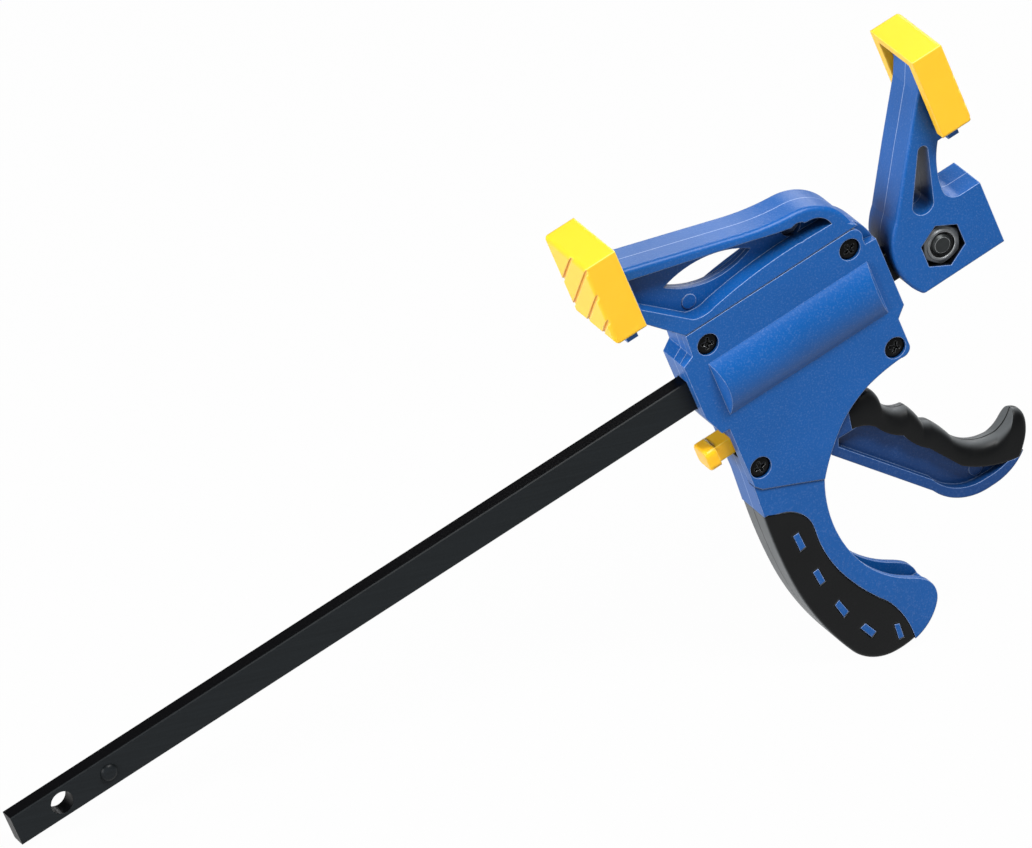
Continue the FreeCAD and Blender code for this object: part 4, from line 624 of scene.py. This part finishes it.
# Drive plates and brake plate: blanked from hardened strip, each with a square window that
# bites on the bar when the plate tilts. They are oiled and keep the shear's bright edges.
plate_steel = dark_steel("hardened_plate_steel", "#6A6D70", "#A5A8AB", 1.0, 0.36, "#C9CBCD")
for name in ("drive_plate_left", "drive_plate_right", "brake_plate"):
    dress(name, plate_steel)

# Cover screws: four black pan-head screws with a cross recess, driven into posts that are
# moulded inside the housing. Each head sits just under the cover's face in a round sink.
screw_black = dark_steel("black_phosphated_screw_steel", "#040405", "#0A0B0C", 0.8, 0.2,
                         "#5A5C5E")
SCREW_SPOTS = [(269.498, 18.300), (328.901, 19.498), (330.200, -25.600), (269.401, -37.200)]
SCREW_SEAT = 6.3


def screw_form(x_mid, y_mid, turn):
    """Screw on a polar grid: rings run from the middle of the head over its dome and down
    the shank to the tip, and the height of a ring drops where the cross recess passes, by a
    smooth step of the distance to the nearer arm of the cross."""
    head, high, shank, tip = 3.97, 1.7, 1.7, -9.8
    reach, far = 2.3, 9.0
    radii = np.concatenate((np.linspace(0.0, head - 0.25, 26), [head - 0.08, head, head, shank,
                            shank, shank * 0.5, 0.0]))
    base = np.concatenate((high - 0.35 * (np.linspace(0.0, 1.0, 26) ** 2.2), [high - 0.45,
                           high - 0.62, 0.0, 0.0, tip + 1.0, tip, tip]))
    around = np.linspace(0.0, 2.0 * math.pi, 96, endpoint=False)
    r, a = np.meshgrid(radii, around, indexing="ij")
    u, v = r * np.cos(a + turn), r * np.sin(a + turn)
    arm = np.minimum(np.where(np.abs(u) < reach, np.abs(v), far),
                     np.where(np.abs(v) < reach, np.abs(u), far))
    end = np.clip((reach - r) / 0.5, 0.0, 1.0)
    dip = np.clip((0.62 - arm) / 0.22, 0.0, 1.0)
    dip = dip * dip * (3.0 - 2.0 * dip) * end
    z = np.repeat(base[:, None], 96, axis=1)
    z[:27] -= 1.0 * dip[:27]
    x, y = x_mid + r * np.cos(a), y_mid + r * np.sin(a)
    return x, y, SCREW_SEAT + z


stand_piece("cover_screw_set", [np.stack(screw_form(x_mid, y_mid, 0.35 + 0.9 * number), axis=-1)
                                for number, (x_mid, y_mid) in enumerate(SCREW_SPOTS)],
            screw_black, "moving_jaw", "cover_screws")

# Springs: two compression springs of bright wire wound round the bar inside the housing, a
# longer one behind the drive plates and a short one behind the brake plate. Their end turns
# are closed and lie flat.
spring_steel = dark_steel("bright_spring_wire", "#8A8D90", "#C2C4C6", 1.0, 0.26, "#D5D7D9")


def span_along_bar(name):
    """Lowest and highest place of a carried-over piece along the bar, in metres."""
    count = len(nodes[name].data.vertices)
    spots = np.empty(count * 3)
    nodes[name].data.vertices.foreach_get("co", spots)
    along = spots.reshape(-1, 3) @ np.array((math.cos(STANCE), 0.0, math.sin(STANCE)))
    return float(along.min()), float(along.max())


def coil_form(low, high, radius, wire, turns):
    """Wire of a compression spring: its axis point runs round a circle while it moves along
    the bar by a smooth step that stands still over the first and last turn, and a ring of
    the wire's radius is carried square to the run."""
    t = np.linspace(0.0, 1.0, int(turns * 40) + 1)
    closed = 0.9 / turns
    share = np.clip((t - closed) / (1.0 - 2.0 * closed), 0.0, 1.0)
    along = share + share * share * (3.0 - 2.0 * share)
    along = low + wire * 0.5 + (high - low - wire) * 0.5 * along
    angle = t * turns * 2.0 * math.pi
    middle = np.stack((along, radius * np.cos(angle), radius * np.sin(angle)), axis=-1)
    run = np.gradient(middle, axis=0)
    run /= np.linalg.norm(run, axis=1, keepdims=True)
    out_way = np.stack((np.zeros_like(t), np.cos(angle), np.sin(angle)), axis=-1)
    side = np.cross(run, out_way)
    round_it = np.linspace(0.0, 2.0 * math.pi, 14, endpoint=False)[None, :, None]
    ring = middle[:, None] + wire * 0.5 * (out_way[:, None] * np.cos(round_it)
                                           + side[:, None] * np.sin(round_it))
    ends = np.repeat(middle[[0, -1]][:, None], 14, axis=1)
    return np.concatenate((ends[:1], ring, ends[1:]))


def hang_spring(name, node, turns):
    """Coil in place of a spring's node."""
    low, high = span_along_bar(node)
    coil_radius, wire = 7.8 * MM, 1.2 * MM
    grid = coil_form(low, high, coil_radius, wire, turns)
    spring = stand_piece(name, [grid / MM], spring_steel, "moving_jaw", node)
    axis = tuple(float(v) for v in to_bench(1.0, 0.0, 0.0))
    anchor = tuple(float(v) for v in to_bench(high, 0.0, 0.0))
    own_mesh(spring)


hang_spring("drive_coil", "drive_spring", 8.0)
hang_spring("brake_coil", "brake_spring", 5.0)
